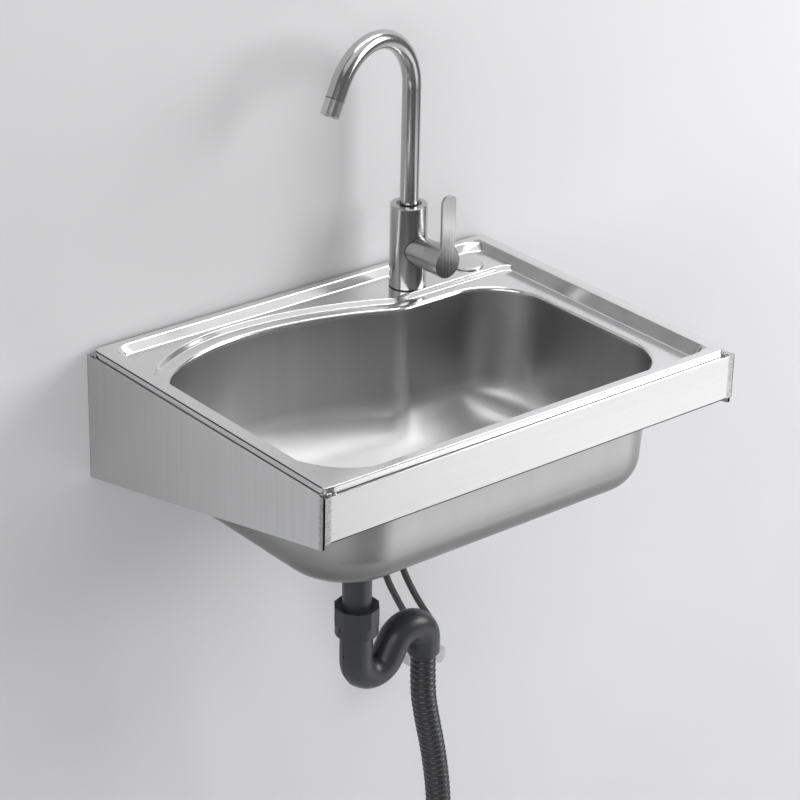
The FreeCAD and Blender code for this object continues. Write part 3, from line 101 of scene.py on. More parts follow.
class Nodes:
    """Short ways to add and link the nodes of one material."""

    def __init__(self, name):
        self.material = bpy.data.materials.new(name)
        self.material.use_nodes = True
        self.tree = self.material.node_tree
        self.tree.nodes.clear()
        self.output = self.add("ShaderNodeOutputMaterial")
        self.shader = self.add("ShaderNodeBsdfPrincipled")
        self.link(self.shader.outputs["BSDF"], self.output.inputs["Surface"])
        self.edge = None

    def soft_edges(self, radius):
        """Rounds the shading of sharp edges."""
        node = self.add("ShaderNodeBevel", samples=6)
        node.inputs["Radius"].default_value = radius
        self.edge = node.outputs["Normal"]
        return self

    def add(self, kind, **values):
        node = self.tree.nodes.new(kind)
        for key, value in values.items():
            setattr(node, key, value)
        return node

    def link(self, source, target):
        self.tree.links.new(source, target)

    def set(self, **values):
        for key, value in values.items():
            self.shader.inputs[key].default_value = value
        return self

    def place(self, scale):
        """Coordinates in metres times a scale; the CAD frame is the object's own frame."""
        where = self.add("ShaderNodeTexCoord")
        stretch = self.add("ShaderNodeMapping")
        stretch.inputs["Scale"].default_value = scale
        self.link(where.outputs["Object"], stretch.inputs["Vector"])
        return stretch.outputs["Vector"]

    def noise(self, scale, detail, rough=0.55):
        node = self.add("ShaderNodeTexNoise")
        node.inputs["Scale"].default_value = 1.0
        node.inputs["Detail"].default_value = detail
        node.inputs["Roughness"].default_value = rough
        self.link(self.place(scale), node.inputs["Vector"])
        return node.outputs["Fac"]

    def span(self, value, low, high, start, end):
        """The value's range from start to end, mapped to low to high."""
        node = self.add("ShaderNodeMapRange")
        node.inputs["From Min"].default_value = start
        node.inputs["From Max"].default_value = end
        node.inputs["To Min"].default_value = low
        node.inputs["To Max"].default_value = high
        self.link(value, node.inputs["Value"])
        return node.outputs["Result"]

    def math(self, operation, a, b):
        node = self.add("ShaderNodeMath", operation=operation)
        for socket, value in zip(node.inputs, (a, b)):
            if isinstance(value, (int, float)):
                socket.default_value = value
            else:
                self.link(value, socket)
        return node.outputs["Value"]

    def blend(self, share, first, second):
        node = self.add("ShaderNodeMix", data_type="RGBA")
        self.link(share, node.inputs[0])
        for socket, value in ((node.inputs[6], first), (node.inputs[7], second)):
            if isinstance(value, tuple):
                socket.default_value = (*value, 1.0)
            else:
                self.link(value, socket)
        return node.outputs[2]

    def axis(self, k):
        """One coordinate of the surface point in the CAD frame, in metres."""
        where = self.add("ShaderNodeTexCoord")
        parts = self.add("ShaderNodeSeparateXYZ")
        self.link(where.outputs["Object"], parts.inputs["Vector"])
        return parts.outputs[k]

    def fade(self, value, start, end):
        """0 before start, 1 after end and a soft step between them."""
        node = self.add("ShaderNodeMapRange", interpolation_type="SMOOTHSTEP")
        node.inputs["From Min"].default_value = start
        node.inputs["From Max"].default_value = end
        self.link(value, node.inputs["Value"])
        return node.outputs["Result"]

    def past(self, k, start, end):
        """0 before start and 1 after end along one axis of the CAD frame, both in millimetres."""
        return self.fade(self.axis(k), start * MM, end * MM)

    def stretch(self, way, amount):
        """Draws highlights out across the brush lines, along one direction."""
        tangent = self.add("ShaderNodeCombineXYZ")
        for socket, value in zip(tangent.inputs, way):
            socket.default_value = value
        self.link(tangent.outputs["Vector"], self.shader.inputs["Tangent"])
        if isinstance(amount, float):
            self.set(Anisotropic=amount)
        else:
            self.link(amount, self.shader.inputs["Anisotropic"])
        return self

    def colour(self, source):
        self.link(source, self.shader.inputs["Base Color"])
        return self

    def rough(self, source):
        self.link(source, self.shader.inputs["Roughness"])
        return self

    def bump(self, height, strength, distance):
        node = self.add("ShaderNodeBump")
        node.inputs["Strength"].default_value = strength
        node.inputs["Distance"].default_value = distance
        self.link(height, node.inputs["Height"])
        if self.edge:
            self.link(self.edge, node.inputs["Normal"])
        self.link(node.outputs["Normal"], self.shader.inputs["Normal"])
        return self


def brush(made, along, light, dark):
    """Fine and coarse brush lines along one axis and a faint cloud; gives the lines and the colour."""
    fine = [800.0, 800.0, 800.0]
    fine[along] = 5.0
    coarse = [230.0, 230.0, 230.0]
    coarse[along] = 3.0
    lines = made.noise(tuple(fine), 5.0, 0.6)
    tone = made.math("MULTIPLY", lines, 0.45)
    for scale, share in ((tuple(coarse), 0.4), ((9.0, 9.0, 9.0), 0.15)):
        tone = made.math("ADD", tone, made.math("MULTIPLY", made.noise(scale, 2.0), share))
    return lines, made.blend(made.span(tone, 0.0, 1.0, 0.35, 0.65), dark, light)


def brushed_steel(name, along, light, dark, rough, depth):
    """Stainless sheet or tube, brushed along one axis."""
    made = Nodes(name).set(Metallic=1.0).soft_edges(0.5 * MM)
    lines, colour = brush(made, along, light, dark)
    made.colour(colour)
    made.rough(made.span(lines, rough - 0.03, rough + 0.04, 0.3, 0.7))
    made.bump(lines, depth, 0.0001)
    return made


def ground_joints(made, across, corners, colour):
    """Lays the ground band of each corner joint and a painted shadow in its open seam over a colour."""
    ragged = made.math("MULTIPLY", made.noise((260.0, 260.0, 260.0), 3.0), 4.0 * MM)
    ground = made.span(made.noise((420.0, 420.0, 420.0), 4.0), 0.0, 1.0, 0.35, 0.65)
    patch = made.blend(ground, (0.36, 0.36, 0.36), (0.62, 0.62, 0.62))
    place = made.axis(across)
    for seam, end in corners:
        side = 1.0 if end > seam else -1.0
        away = made.math("MULTIPLY", made.math("SUBTRACT", place, seam * MM), side)
        width = abs(end - seam) * MM
        band = made.fade(made.math("ADD", away, ragged), width + 4.0 * MM, width)
        colour = made.blend(band, colour, patch)
        # Painted shadow: the colour goes near black close to the open seam.
        gap = made.fade(away, 1.3 * MM, 0.9 * MM)
        colour = made.blend(gap, colour, (0.012, 0.012, 0.012))
    return colour


def welded_sheet(name, along, way, across, corners, light, dark, rough):
    """Brushed sheet with ground corner joints and painted shade: darker towards the wall, a painted shadow in
    the joints' open seams and a painted dark line along the lower edge in front.

    way lies across the brush lines, across is the axis that runs to the joints, and corners are their
    (seam, end of the ground band) places in millimetres.
    """
    made = Nodes(name).set(Metallic=1.0).stretch(way, 0.5).soft_edges(0.7 * MM)
    lines, colour = brush(made, along, light, dark)
    # Painted shade: the sheet's colour darkens towards the wall.
    painted_wall_shade = made.math("MULTIPLY", made.past(1, -360.0, -20.0), 0.5)
    colour = made.blend(painted_wall_shade, colour, (0.40, 0.40, 0.40))
    # Painted shade: a thin near-black line along the lower edge of the front rail.
    low = made.past(2, RAIL_Z + 1.7, RAIL_Z + 1.0)
    front = made.past(1, RAIL_FRONT + 1.5, RAIL_FRONT + 0.8)
    colour = made.blend(made.math("MULTIPLY", low, front), colour, (0.05, 0.05, 0.05))
    made.colour(ground_joints(made, across, corners, colour))
    made.rough(made.span(lines, rough - 0.03, rough + 0.04, 0.3, 0.7))
    made.bump(lines, 0.03, 0.0001)
    return made


def satin_steel(name, light, dark, rough, foot=None):
    """Plain stainless with an even satin grain and soft streaks.

    foot is a painted shade below, darker towards the bottom, given by its (top, bottom, colour).
    """
    made = Nodes(name).set(Metallic=1.0)
    grain = made.noise((1300.0, 1300.0, 1300.0), 2.0)
    streak = made.noise((30.0, 30.0, 1.2), 2.0)
    tone = made.math("ADD", made.math("MULTIPLY", grain, 0.5), made.math("MULTIPLY", streak, 0.5))
    colour = made.blend(made.span(tone, 0.0, 1.0, 0.3, 0.7), dark, light)
    if foot:
        # Painted shade: the colour darkens towards the bottom of the foot part.
        top, bottom, dull = foot
        colour = made.blend(made.past(2, top, bottom), colour, dull)
    made.colour(colour)
    made.rough(made.span(tone, rough - 0.02, rough + 0.03, 0.3, 0.7))
    made.bump(grain, 0.02, 0.0001)
    return made


def right_border(made):
    """Where the rim's sloped border at the right lies."""
    foot = DECK[1] - BORDER_WIDTH
    top = DECK[1]
    share = made.math("MULTIPLY", made.past(0, foot - 0.5, foot + 1.0), made.past(0, top + 0.5, top - 1.0))
    for end, side in ((DECK[2], 1.0), (DECK[3], -1.0)):
        share = made.math("MULTIPLY", share, made.past(1, end + side * 1.5, end + side * 4.5))
    return share


def rim_painted_shade(made):
    """Where the rim gets painted shade as dark lines: the shadow in the gap under its skirt, the dark
    reflection in the fold on its left side and the shadow along its rear edge.
    """
    left = made.past(0, RIM[0] + 1.3, RIM[0] + 0.7)
    outside = made.math("MAXIMUM", left, made.past(0, RIM[1] - 1.3, RIM[1] - 0.7))
    outside = made.math("MAXIMUM", outside, made.past(1, RIM[2] + 1.3, RIM[2] + 0.7))
    skirt_end = RIM_Z - SKIRT_HEIGHT
    gap = made.math("MULTIPLY", outside, made.past(2, skirt_end + 1.3, skirt_end + 0.7))
    fold = made.math("MULTIPLY", left, made.past(2, RIM_Z - 2.0, RIM_Z - 1.6))
    fold = made.math("MULTIPLY", fold, made.past(2, RIM_Z - 0.1, RIM_Z - 0.5))
    behind = made.math("MULTIPLY", made.past(1, RIM[3] - 3.5, RIM[3] - 1.2), 0.75)
    return made.math("MAXIMUM", made.math("MAXIMUM", gap, fold), behind)


def pressed_steel(name):
    """The basin: a bright rim and deck, with painted shade on the right border slope and the bowl's walls,
    painted light on the bowl's floor, and painted dark lines along the rim.
    """
    made = Nodes(name).set(Metallic=1.0)
    grain = made.noise((1300.0, 1300.0, 1300.0), 2.0)
    streak = made.noise((26.0, 26.0, 1.0), 2.0)
    tone = made.math("ADD", made.math("MULTIPLY", grain, 0.45), made.math("MULTIPLY", streak, 0.55))
    share = made.span(tone, 0.0, 1.0, 0.3, 0.7)
    deck = made.past(2, DECK_Z - 9.0, DECK_Z - 0.5)
    low = made.past(2, FLOOR_Z + 53.0, FLOOR_Z + 18.0)
    # Painted shade: the bowl's walls get a much darker grey than the deck.
    shaded_walls = made.blend(share, (0.34, 0.34, 0.338), (0.39, 0.39, 0.388))
    # Painted light: the bowl's floor gets a much brighter grey than the walls.
    floor = made.blend(share, (0.76, 0.76, 0.758), (0.82, 0.82, 0.818))
    bright = made.blend(share, (0.74, 0.74, 0.74), (0.78, 0.78, 0.78))
    # Painted shade: the sloped border at the right is darker than the rest of the deck.
    border = made.blend(share, (0.36, 0.36, 0.36), (0.46, 0.46, 0.46))
    bright = made.blend(right_border(made), bright, border)
    colour = made.blend(deck, made.blend(low, shaded_walls, floor), bright)
    # Painted shade: the rim's dark lines.
    made.colour(made.blend(rim_painted_shade(made), colour, (0.015, 0.015, 0.015)))
    dull = made.math("ADD", made.span(tone, 0.33, 0.37, 0.3, 0.7), made.math("MULTIPLY", low, 0.13))
    made.rough(made.math("SUBTRACT", dull, made.math("MULTIPLY", deck, 0.19)))
    made.stretch((0, 1, 0), made.math("MULTIPLY", low, 0.9))
    made.bump(grain, 0.006, 0.0001)
    return made


def plastic(name, light, dark, rough, grain=900.0, depth=0.08):
    """Moulded plastic or rubber with a fine mould grain and faint flow marks."""
    made = Nodes(name).soft_edges(1.0 * MM)
    texture = made.noise((grain, grain, grain), 2.0)
    flow = made.noise((28.0, 28.0, 9.0), 3.0)
    made.colour(made.blend(made.span(flow, 0.0, 1.0, 0.3, 0.7), dark, light))
    made.rough(made.span(texture, rough - 0.06, rough + 0.08, 0.3, 0.7))
    made.bump(texture, depth, 0.0002)
    return made


def woven_rubber(name):
    """A hose's woven black cover: two sets of strands that cross, by the tube's own coordinates."""
    made = Nodes(name)
    where = made.add("ShaderNodeUVMap")
    parts = made.add("ShaderNodeSeparateXYZ")
    made.link(where.outputs["UV"], parts.inputs["Vector"])
    around = made.math("MULTIPLY", parts.outputs["X"], 12 * 2 * math.pi)
    along = made.math("MULTIPLY", parts.outputs["Y"], 2 * math.pi / 0.006)
    strands = made.math(
        "MAXIMUM", made.math("SINE", made.math("ADD", around, along), 0.0),
        made.math("SINE", made.math("SUBTRACT", around, along), 0.0),
    )
    height = made.span(strands, 0.0, 1.0, -1.0, 1.0)
    made.colour(made.blend(height, (0.008, 0.008, 0.008), (0.022, 0.022, 0.023)))
    made.rough(made.span(made.noise((900.0, 900.0, 900.0), 2.0), 0.18, 0.28, 0.3, 0.7))
    made.bump(height, 0.1, 0.0003)
    return made


basin_steel = pressed_steel("basin_steel")
# Painted shade: the underside darkens towards the bottom of the bowl's foot.
basin_under = satin_steel(
    "basin_under", (0.50, 0.50, 0.497), (0.44, 0.44, 0.437), 0.30,
    (FLOOR_Z + 68.0, FLOOR_Z + 13.0, (0.17, 0.17, 0.17))
)
frame_steel = welded_sheet(
    "frame_steel", 2, (0, 1, 0), 1, [(-438.1, -431.0)], (0.82, 0.82, 0.82), (0.72, 0.72, 0.72), 0.22
)
rail_steel = welded_sheet(
    "rail_steel", 0, (0, 0.7, 0.7), 0, [(-297.2, -288.5), (297.2, 288.5)],
    (0.78, 0.78, 0.78), (0.74, 0.74, 0.74), 0.30
)
tap_steel = brushed_steel("tap_steel", 2, (0.51, 0.51, 0.51), (0.45, 0.45, 0.45), 0.19, 0.02)
lever_steel = brushed_steel("lever_steel", 2, (0.43, 0.43, 0.43), (0.395, 0.395, 0.395), 0.25, 0.02)
plain_steel = satin_steel("plain_steel", (0.62, 0.62, 0.61), (0.52, 0.52, 0.51), 0.24)
cover_steel = satin_steel("cover_steel", (0.70, 0.70, 0.70), (0.65, 0.65, 0.65), 0.38)
brass = satin_steel("brass", (0.62, 0.46, 0.20), (0.50, 0.36, 0.15), 0.30)
chrome = satin_steel("chrome", (0.72, 0.72, 0.72), (0.64, 0.64, 0.64), 0.10)
grey_pvc = plastic("grey_pvc", (0.042, 0.043, 0.046), (0.034, 0.035, 0.038), 0.34, 900.0, 0.012)
white_plastic = plastic("white_plastic", (0.78, 0.78, 0.76), (0.70, 0.70, 0.68), 0.42)
black_rubber = plastic("black_rubber", (0.028, 0.028, 0.028), (0.018, 0.018, 0.018), 0.55)
waste_hose = plastic("waste_hose", (0.036, 0.037, 0.039), (0.028, 0.029, 0.031), 0.27, 500.0, 0.015)
supply_hose = woven_rubber("supply_hose")

FINISH = {
    "basin_steel": basin_steel, "frame_steel": frame_steel, "tap_steel": tap_steel,
    "plain_steel": plain_steel, "brass": brass, "chrome": chrome, "grey_pvc": grey_pvc,
    "white_plastic": white_plastic, "black_rubber": black_rubber, "waste_hose": waste_hose,
    "supply_hose": supply_hose,
}


def wear(piece, made):
    """Puts a material on every slot of a piece."""
    if not piece.data.materials:
        piece.data.materials.append(made.material)
    for slot in piece.material_slots:
        slot.link = "OBJECT"
        slot.material = made.material


for row in frame["record"]["subparts"]:
    wear(nodes[row["node"]], FINISH[row["material_slot"]])
wear(nodes["front_rail"], rail_steel)
wear(nodes["rear_rail"], rail_steel)
wear(nodes["handle_lever"], lever_steel)
wear(nodes["hole_cover"], cover_steel)


# Pieces made of points and faces

def piece_from(name, points, faces, body, made):
    """A smooth piece that rides a body, from its points in metres and its faces."""
    mesh = bpy.data.meshes.new(name)
    mesh.from_pydata([tuple(p) for p in points], [], faces)
    mesh.polygons.foreach_set("use_smooth", [True] * len(mesh.polygons))
    mesh.update()
    piece = bpy.data.objects.new(name, mesh)
    bpy.context.collection.objects.link(piece)
    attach(piece, body)
    wear(piece, made)
    return piece


def ring_faces(rings, count):
    """Quads between rings of the same count of points, each ring closed on itself."""
    faces = []
    for k in range(rings - 1):
        low = k * count
        for i in range(count):
            j = (i + 1) % count
            faces.append((low + i, low + j, low + count + j, low + count + i))
    return faces


# Hoses: each route is a spline on the route's points, and its tube follows that spline

def route_line(name, start, offsets):
    """The points along a smooth spline whose control points are the route's points."""
    data = bpy.data.curves.new(name, "CURVE")
    data.dimensions = "3D"
    data.resolution_u = 24
    spline = data.splines.new("NURBS")
    spline.points.add(len(offsets) - 1)
    for point, offset in zip(spline.points, offsets):
        point.co = (*[(a + b) * MM for a, b in zip(start, offset)], 1.0)
    spline.order_u = 3
    spline.use_endpoint_u = True
    holder = bpy.data.objects.new(name, data)
    bpy.context.collection.objects.link(holder)
    line = bpy.data.meshes.new_from_object(holder.evaluated_get(bpy.context.evaluated_depsgraph_get()))
    points = np.array([tuple(v.co) for v in line.vertices])
    bpy.data.meshes.remove(line)
    bpy.data.objects.remove(holder)
    return points


def tube(line, step, radius_at, around):
    """Rings round a line every step metres; radius_at gives the radius at a distance along it."""
    gaps = np.linalg.norm(np.diff(line, axis=0), axis=1)
    along = np.concatenate(([0.0], np.cumsum(gaps)))
    count = int(round(along[-1] / step)) + 1
    marks = np.linspace(0.0, along[-1], count)
    middle = np.stack([np.interp(marks, along, line[:, k]) for k in range(3)], axis=1)
    ways = np.gradient(middle, axis=0)
    ways /= np.linalg.norm(ways, axis=1)[:, None]
    side = np.array((1.0, 0.0, 0.0))
    turns = np.linspace(0.0, 2 * math.pi, around, endpoint=False)
    points = []
    for centre, way, mark in zip(middle, ways, marks):
        side = side - way * side.dot(way)
        side /= np.linalg.norm(side)
        other = np.cross(way, side)
        reach = radius_at(mark)
        for turn in turns:
            points.append(centre + reach * (side * math.cos(turn) + other * math.sin(turn)))
    return points, ring_faces(count, around), along[-1]


def lay_round(piece, around, length):
    """Tube coordinates: the share of a turn round the tube and the metres along it."""
    step = length / (len(piece.data.vertices) // around - 1)
    layer = piece.data.uv_layers.new(name="along")
    for number, face in enumerate(piece.data.polygons):
        k, i = divmod(number, around)
        for loop, (u, v) in zip(face.loop_indices, ((i, k), (i + 1, k), (i + 1, k + 1), (i, k + 1))):
            layer.data[loop].uv = (u / around, v * step)


WASTE_START = (21.0, -228.0, -314.0)
WASTE_ROUTE = [
    (0, 0, 8), (0, 0, -49), (6, 0, -87), (21.5, 0, -153), (31.5, 0, -219), (33.5, 0, -283),
    (30.5, 0, -347), (30.5, 0, -409),
]
LEFT_START = (118.2, -58.4, 83.7)
LEFT_ROUTE = [
    (0, 0, 0), (0, 0, -63), (-7, 4, -158), (-20, 10, -253), (-23, 13, -343), (-10, 14, -404),
    (17, 14, -458), (42, 14, -503), (42, 14, -541),
]
RIGHT_START = (129.2, -58.4, 83.7)
RIGHT_ROUTE = [
    (0, 0, 0), (0, 0, -63), (-3, 4, -158), (-9, 10, -253), (-9, 13, -343), (7, 14, -404),
    (38, 14, -466), (68, 14, -512), (68, 14, -549),
]
RIB_PITCH = 8.0
RIB_HEIGHT = 2.6
GROOVE_RADIUS = 13.2
SUPPLY_RADIUS = 4.5
SUPPLY_SIDES = 24


def rib(mark):
    """The waste hose's radius along it: round crests with narrow grooves between them."""
    phase = (mark / (RIB_PITCH * MM)) % 1.0
    crest = abs(math.sin(math.pi * phase)) ** 0.55
    return (GROOVE_RADIUS + RIB_HEIGHT * crest) * MM


def add_waste_hose():
    line = route_line("waste_route", WASTE_START, WASTE_ROUTE)
    points, faces, length = tube(line, 0.8 * MM, rib, 40)
    piece = piece_from("ribbed_hose", points, faces, "sink", waste_hose)
    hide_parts("drain_hose")


def add_supply_hose(side, start, offsets):
    line = route_line(side + "_route", start, offsets)
    points, faces, length = tube(line, 3.0 * MM, lambda mark: SUPPLY_RADIUS * MM, SUPPLY_SIDES)
    piece = piece_from(side + "_hose", points, faces, "sink", supply_hose)
    lay_round(piece, SUPPLY_SIDES, length)
    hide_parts(side + "_supply_hose")


add_waste_hose()
add_supply_hose("left", LEFT_START, LEFT_ROUTE)
add_supply_hose("right", RIGHT_START, RIGHT_ROUTE)


# Pressed basin: rings round the drain, up the bowl, over the deck to the rim's skirt

RING_POINTS = 600
FOOT_RADIUS = 45.0
LIP_RADIUS = 5.0
DRAFT = math.radians(3.5)
STEP_WIDTH = 5.0
TAP_HOLE_RADIUS = 17.5
SPARE_HOLE_RADIUS = 14.0
SEAT_ROWS = (
    (43.0, 0.0), (50.0, 0.0), (54.5, 0.0), (56.3, 0.4), (57.4, 1.3), (58.0, 2.4), (58.8, 3.4), (60.2, 4.0),
)
RIM_ROWS = (
    (4.0, 0.0), (1.6, 0.0), (0.9, 0.1), (0.35, 0.45), (0.08, 0.95), (0.0, 1.6), (0.0, SKIRT_HEIGHT),
)


def rectangle(left, right, front, rear, corner):
    return [
        (left + corner, front + corner, corner, 180, 270), (right - corner, front + corner, corner, 270, 360),
        (right - corner, rear - corner, corner, 0, 90), (left + corner, rear - corner, corner, 90, 180),
    ]


def kidney(right, rear_right, front_right, front_left):
    """The bowl's outline at its lip, with a bay at the rear for the tap."""
    rear = RIM[3] - 41.0
    bay = RIM[3] - 91.5
    front = RIM[2] + 26.0
    left = RIM[0] + 28.0
    crown = RIM[0] + 172.0
    small = 58.0
    large = 215.0
    bow = 430.0
    hollow = 50.0
    slope = math.degrees(math.acos(1 - (rear - bay) / (bow + hollow)))
    hollow_x = crown + (bow + hollow) * math.sin(math.radians(slope))
    small_x = left + small
    small_y = rear - large + math.sqrt((large - small) ** 2 - (crown - small_x) ** 2)
    join = 180 - math.degrees(math.acos((crown - small_x) / (large - small)))
    return [
        (left + front_left, front + front_left, front_left, 180, 270),
        (right - front_right, front + front_right, front_right, 270, 360),
        (right - rear_right, bay - rear_right, rear_right, 0, 90),
        (hollow_x, bay + hollow, hollow, 270, 270 - slope),
        (crown, rear - bow, bow, 90 - slope, 90), (crown, rear - large, large, 90, join),
        (small_x, small_y, small, join, 180),
    ]


def outline(arcs, inset=0.0):
    """Points 0.75 mm apart round an outline of arcs and straight lines, drawn in by an inset."""
    corners = []
    for x, y, radius, start, end in arcs:
        reach = radius - inset if end > start else radius + inset
        for angle in np.radians(np.linspace(start, end, 97)):
            corners.append((x + reach * math.cos(angle), y + reach * math.sin(angle)))
    corners = np.array(corners + corners[:1])
    along = np.concatenate(([0.0], np.cumsum(np.linalg.norm(np.diff(corners, axis=0), axis=1))))
    marks = np.linspace(0.0, along[-1], int(along[-1] / 0.75), endpoint=False)
    return np.stack([np.interp(marks, along, corners[:, k]) for k in range(2)], axis=1)


def reach_of(points, angles):
    """How far an outline lies from the drain's middle in each direction."""
    x, y = (points - np.array(DRAIN)).T
    return np.interp(angles, np.arctan2(y, x), np.hypot(x, y), period=2 * math.pi)


def softer(a, b, room, sign):
    """The larger (sign 1) or smaller (sign -1) of two heights, with a rounded bend between them."""
    both = np.maximum(a, b) if sign > 0 else np.minimum(a, b)
    near = np.maximum(room - np.abs(a - b), 0.0)
    return both + sign * near * near / (4 * room)


TOP_LINE = outline(rectangle(*DECK, 20.0))
FOOT_LINE = outline(rectangle(
    DECK[0] + BORDER_WIDTH, DECK[1] - BORDER_WIDTH, DECK[2] + BORDER_WIDTH, DECK[3] - REAR_BORDER_WIDTH, 10.5,
))
STEP_GROWTH = 10.5
STEP_AWAY = np.linspace(-STEP_GROWTH, 9.0, 27)
STEP_LINES = [outline(kidney(DECK[1] - 14.5, 11.5, 11.5, 11.5), -STEP_GROWTH - away) for away in STEP_AWAY]


class Deck:
    """The deck's height by direction and reach: sloped border, tap plateau and step to the bowl."""

    def __init__(self, angles):
        self.top = reach_of(TOP_LINE, angles)
        self.foot = reach_of(FOOT_LINE, angles)
        self.steps = np.array([reach_of(line, angles) for line in STEP_LINES])

    def bends(self, lip):
        """Reaches from the lip to the rim at which the sheet bends, in order in each direction."""
        level = self.foot + (self.top - self.foot) * (PLATEAU_Z - DECK_Z) / (RIM_Z - DECK_Z)
        step_foot, step_top = (
            np.array([np.interp(away, STEP_AWAY, column) for column in self.steps.T])
            for away in (0.0, STEP_WIDTH)
        )
        end = self.top + 2.5
        rows = np.sort(np.clip([step_foot, step_top, self.foot, level, self.top], lip, end), axis=0)
        rows = np.concatenate([[lip], rows, [end]])
        for k in range(1, len(rows)):
            rows[k] = np.maximum(rows[k], rows[k - 1] + 0.2)
        return rows

    def height(self, reach):
        slope = RIM_Z - (RIM_Z - DECK_Z) * (self.top - reach) / (self.top - self.foot)
        away = np.empty_like(reach)
        for k in range(reach.shape[1]):
            away[:, k] = np.interp(reach[:, k], self.steps[:, k], STEP_AWAY)
        step = softer(DECK_Z + (PLATEAU_Z - DECK_Z) * away / STEP_WIDTH, PLATEAU_Z, 1.2, -1)
        floor = softer(softer(slope, step, 1.6, 1), DECK_Z, 1.2, 1)
        return softer(floor, RIM_Z, 1.4, -1)


class Rings:
    """Rings of points round the drain's middle, all in the same directions, from the drain to the skirt."""

    def __init__(self, angles):
        self.angles = angles
        self.way = np.stack([np.cos(angles), np.sin(angles)], axis=1)
        self.rows = []

    def add(self, reach, z):
        flat = np.array(DRAIN) + self.way * np.broadcast_to(reach, RING_POINTS).reshape(-1, 1)
        self.rows.append(np.column_stack([flat, np.broadcast_to(z, RING_POINTS)]))

    def follow(self, arcs, inset, z):
        """A ring on an outline drawn in by an inset."""
        self.add(reach_of(outline(arcs, inset), self.angles), z)


def add_bowl_rings(rings, bowl):
    """The drain's seat, the floor, the rounded foot, the drawn wall and the lip."""
    for reach, rise in SEAT_ROWS:
        rings.add(reach, SEAT_Z + rise)
    seat = SEAT_ROWS[-1][0]
    foot_z = FLOOR_Z + FOOT_RADIUS
    lip_z = DECK_Z - LIP_RADIUS
    foot_inset = (FOOT_RADIUS + LIP_RADIUS) / math.cos(DRAFT) + (lip_z - foot_z) * math.tan(DRAFT)
    floor_edge = reach_of(outline(bowl, foot_inset), rings.angles)
    for share in np.linspace(0.0, 1.0, 10)[1:]:
        rings.add(seat + (floor_edge - seat) * share, FLOOR_Z)
    for angle in np.linspace(math.pi / 2, DRAFT, 15)[1:]:
        rings.follow(bowl, foot_inset - FOOT_RADIUS * math.cos(angle), foot_z - FOOT_RADIUS * math.sin(angle))
    low = np.array((foot_inset - FOOT_RADIUS * math.cos(DRAFT), foot_z - FOOT_RADIUS * math.sin(DRAFT)))
    high = np.array((LIP_RADIUS * math.cos(DRAFT), lip_z + LIP_RADIUS * math.sin(DRAFT)))
    for share in np.linspace(0.0, 1.0, 7)[1:]:
        rings.follow(bowl, *(low + (high - low) * share))
    for angle in np.linspace(math.pi / 2 - DRAFT, 0.0, 8)[1:]:
        rings.follow(bowl, LIP_RADIUS * math.sin(angle), lip_z + LIP_RADIUS * math.cos(angle))


def deck_reaches(deck, lip):
    """Reaches of the deck's rings, closer together where the sheet bends."""
    bends = deck.bends(lip)
    spread = (1 - np.cos(np.linspace(0.0, math.pi, 12)[1:, None])) / 2
    return np.concatenate([low + (high - low) * spread for low, high in zip(bends, bends[1:])])


def deck_facing(deck, rings, reach):
    """The way out of the deck's surface, from its slopes away from the drain and round it."""
    step = 0.15
    turn = 0.0005
    outward = (deck.height(reach + step) - deck.height(reach - step)) / (2 * step)
    ahead = Deck(rings.angles + turn).height(reach)
    back = Deck(rings.angles - turn).height(reach)
    sideways = (ahead - back) / (2 * turn) / reach
    x, y = rings.way.T
    return np.stack([sideways * y - outward * x, -sideways * x - outward * y, np.ones_like(reach)], axis=2)


def is_sheet(spot):
    """Whether a spot lies below the deck or outside its two round holes."""
    holes = ((TAP, TAP_HOLE_RADIUS), (SPARE_HOLE, SPARE_HOLE_RADIUS))
    return spot[2] < DECK_Z or all(math.dist(spot[:2], hole) > radius for hole, radius in holes)


def sheet_faces(points, size):
    """Faces of the upper side, of the lower side and of the edges at the drain and the skirt."""
    upper = []
    for face in ring_faces(size // RING_POINTS, RING_POINTS):
        if is_sheet(points[list(face)].mean(axis=0) / MM):
            upper.append(tuple(reversed(face)))
    lower = [tuple(k + size for k in reversed(face)) for face in upper]
    sides = []
    rim = size - RING_POINTS
    for i in range(RING_POINTS):
        j = (i + 1) % RING_POINTS
        sides.append((i, j, size + j, size + i))
        sides.append((rim + j, rim + i, size + rim + i, size + rim + j))
    return upper, lower + sides


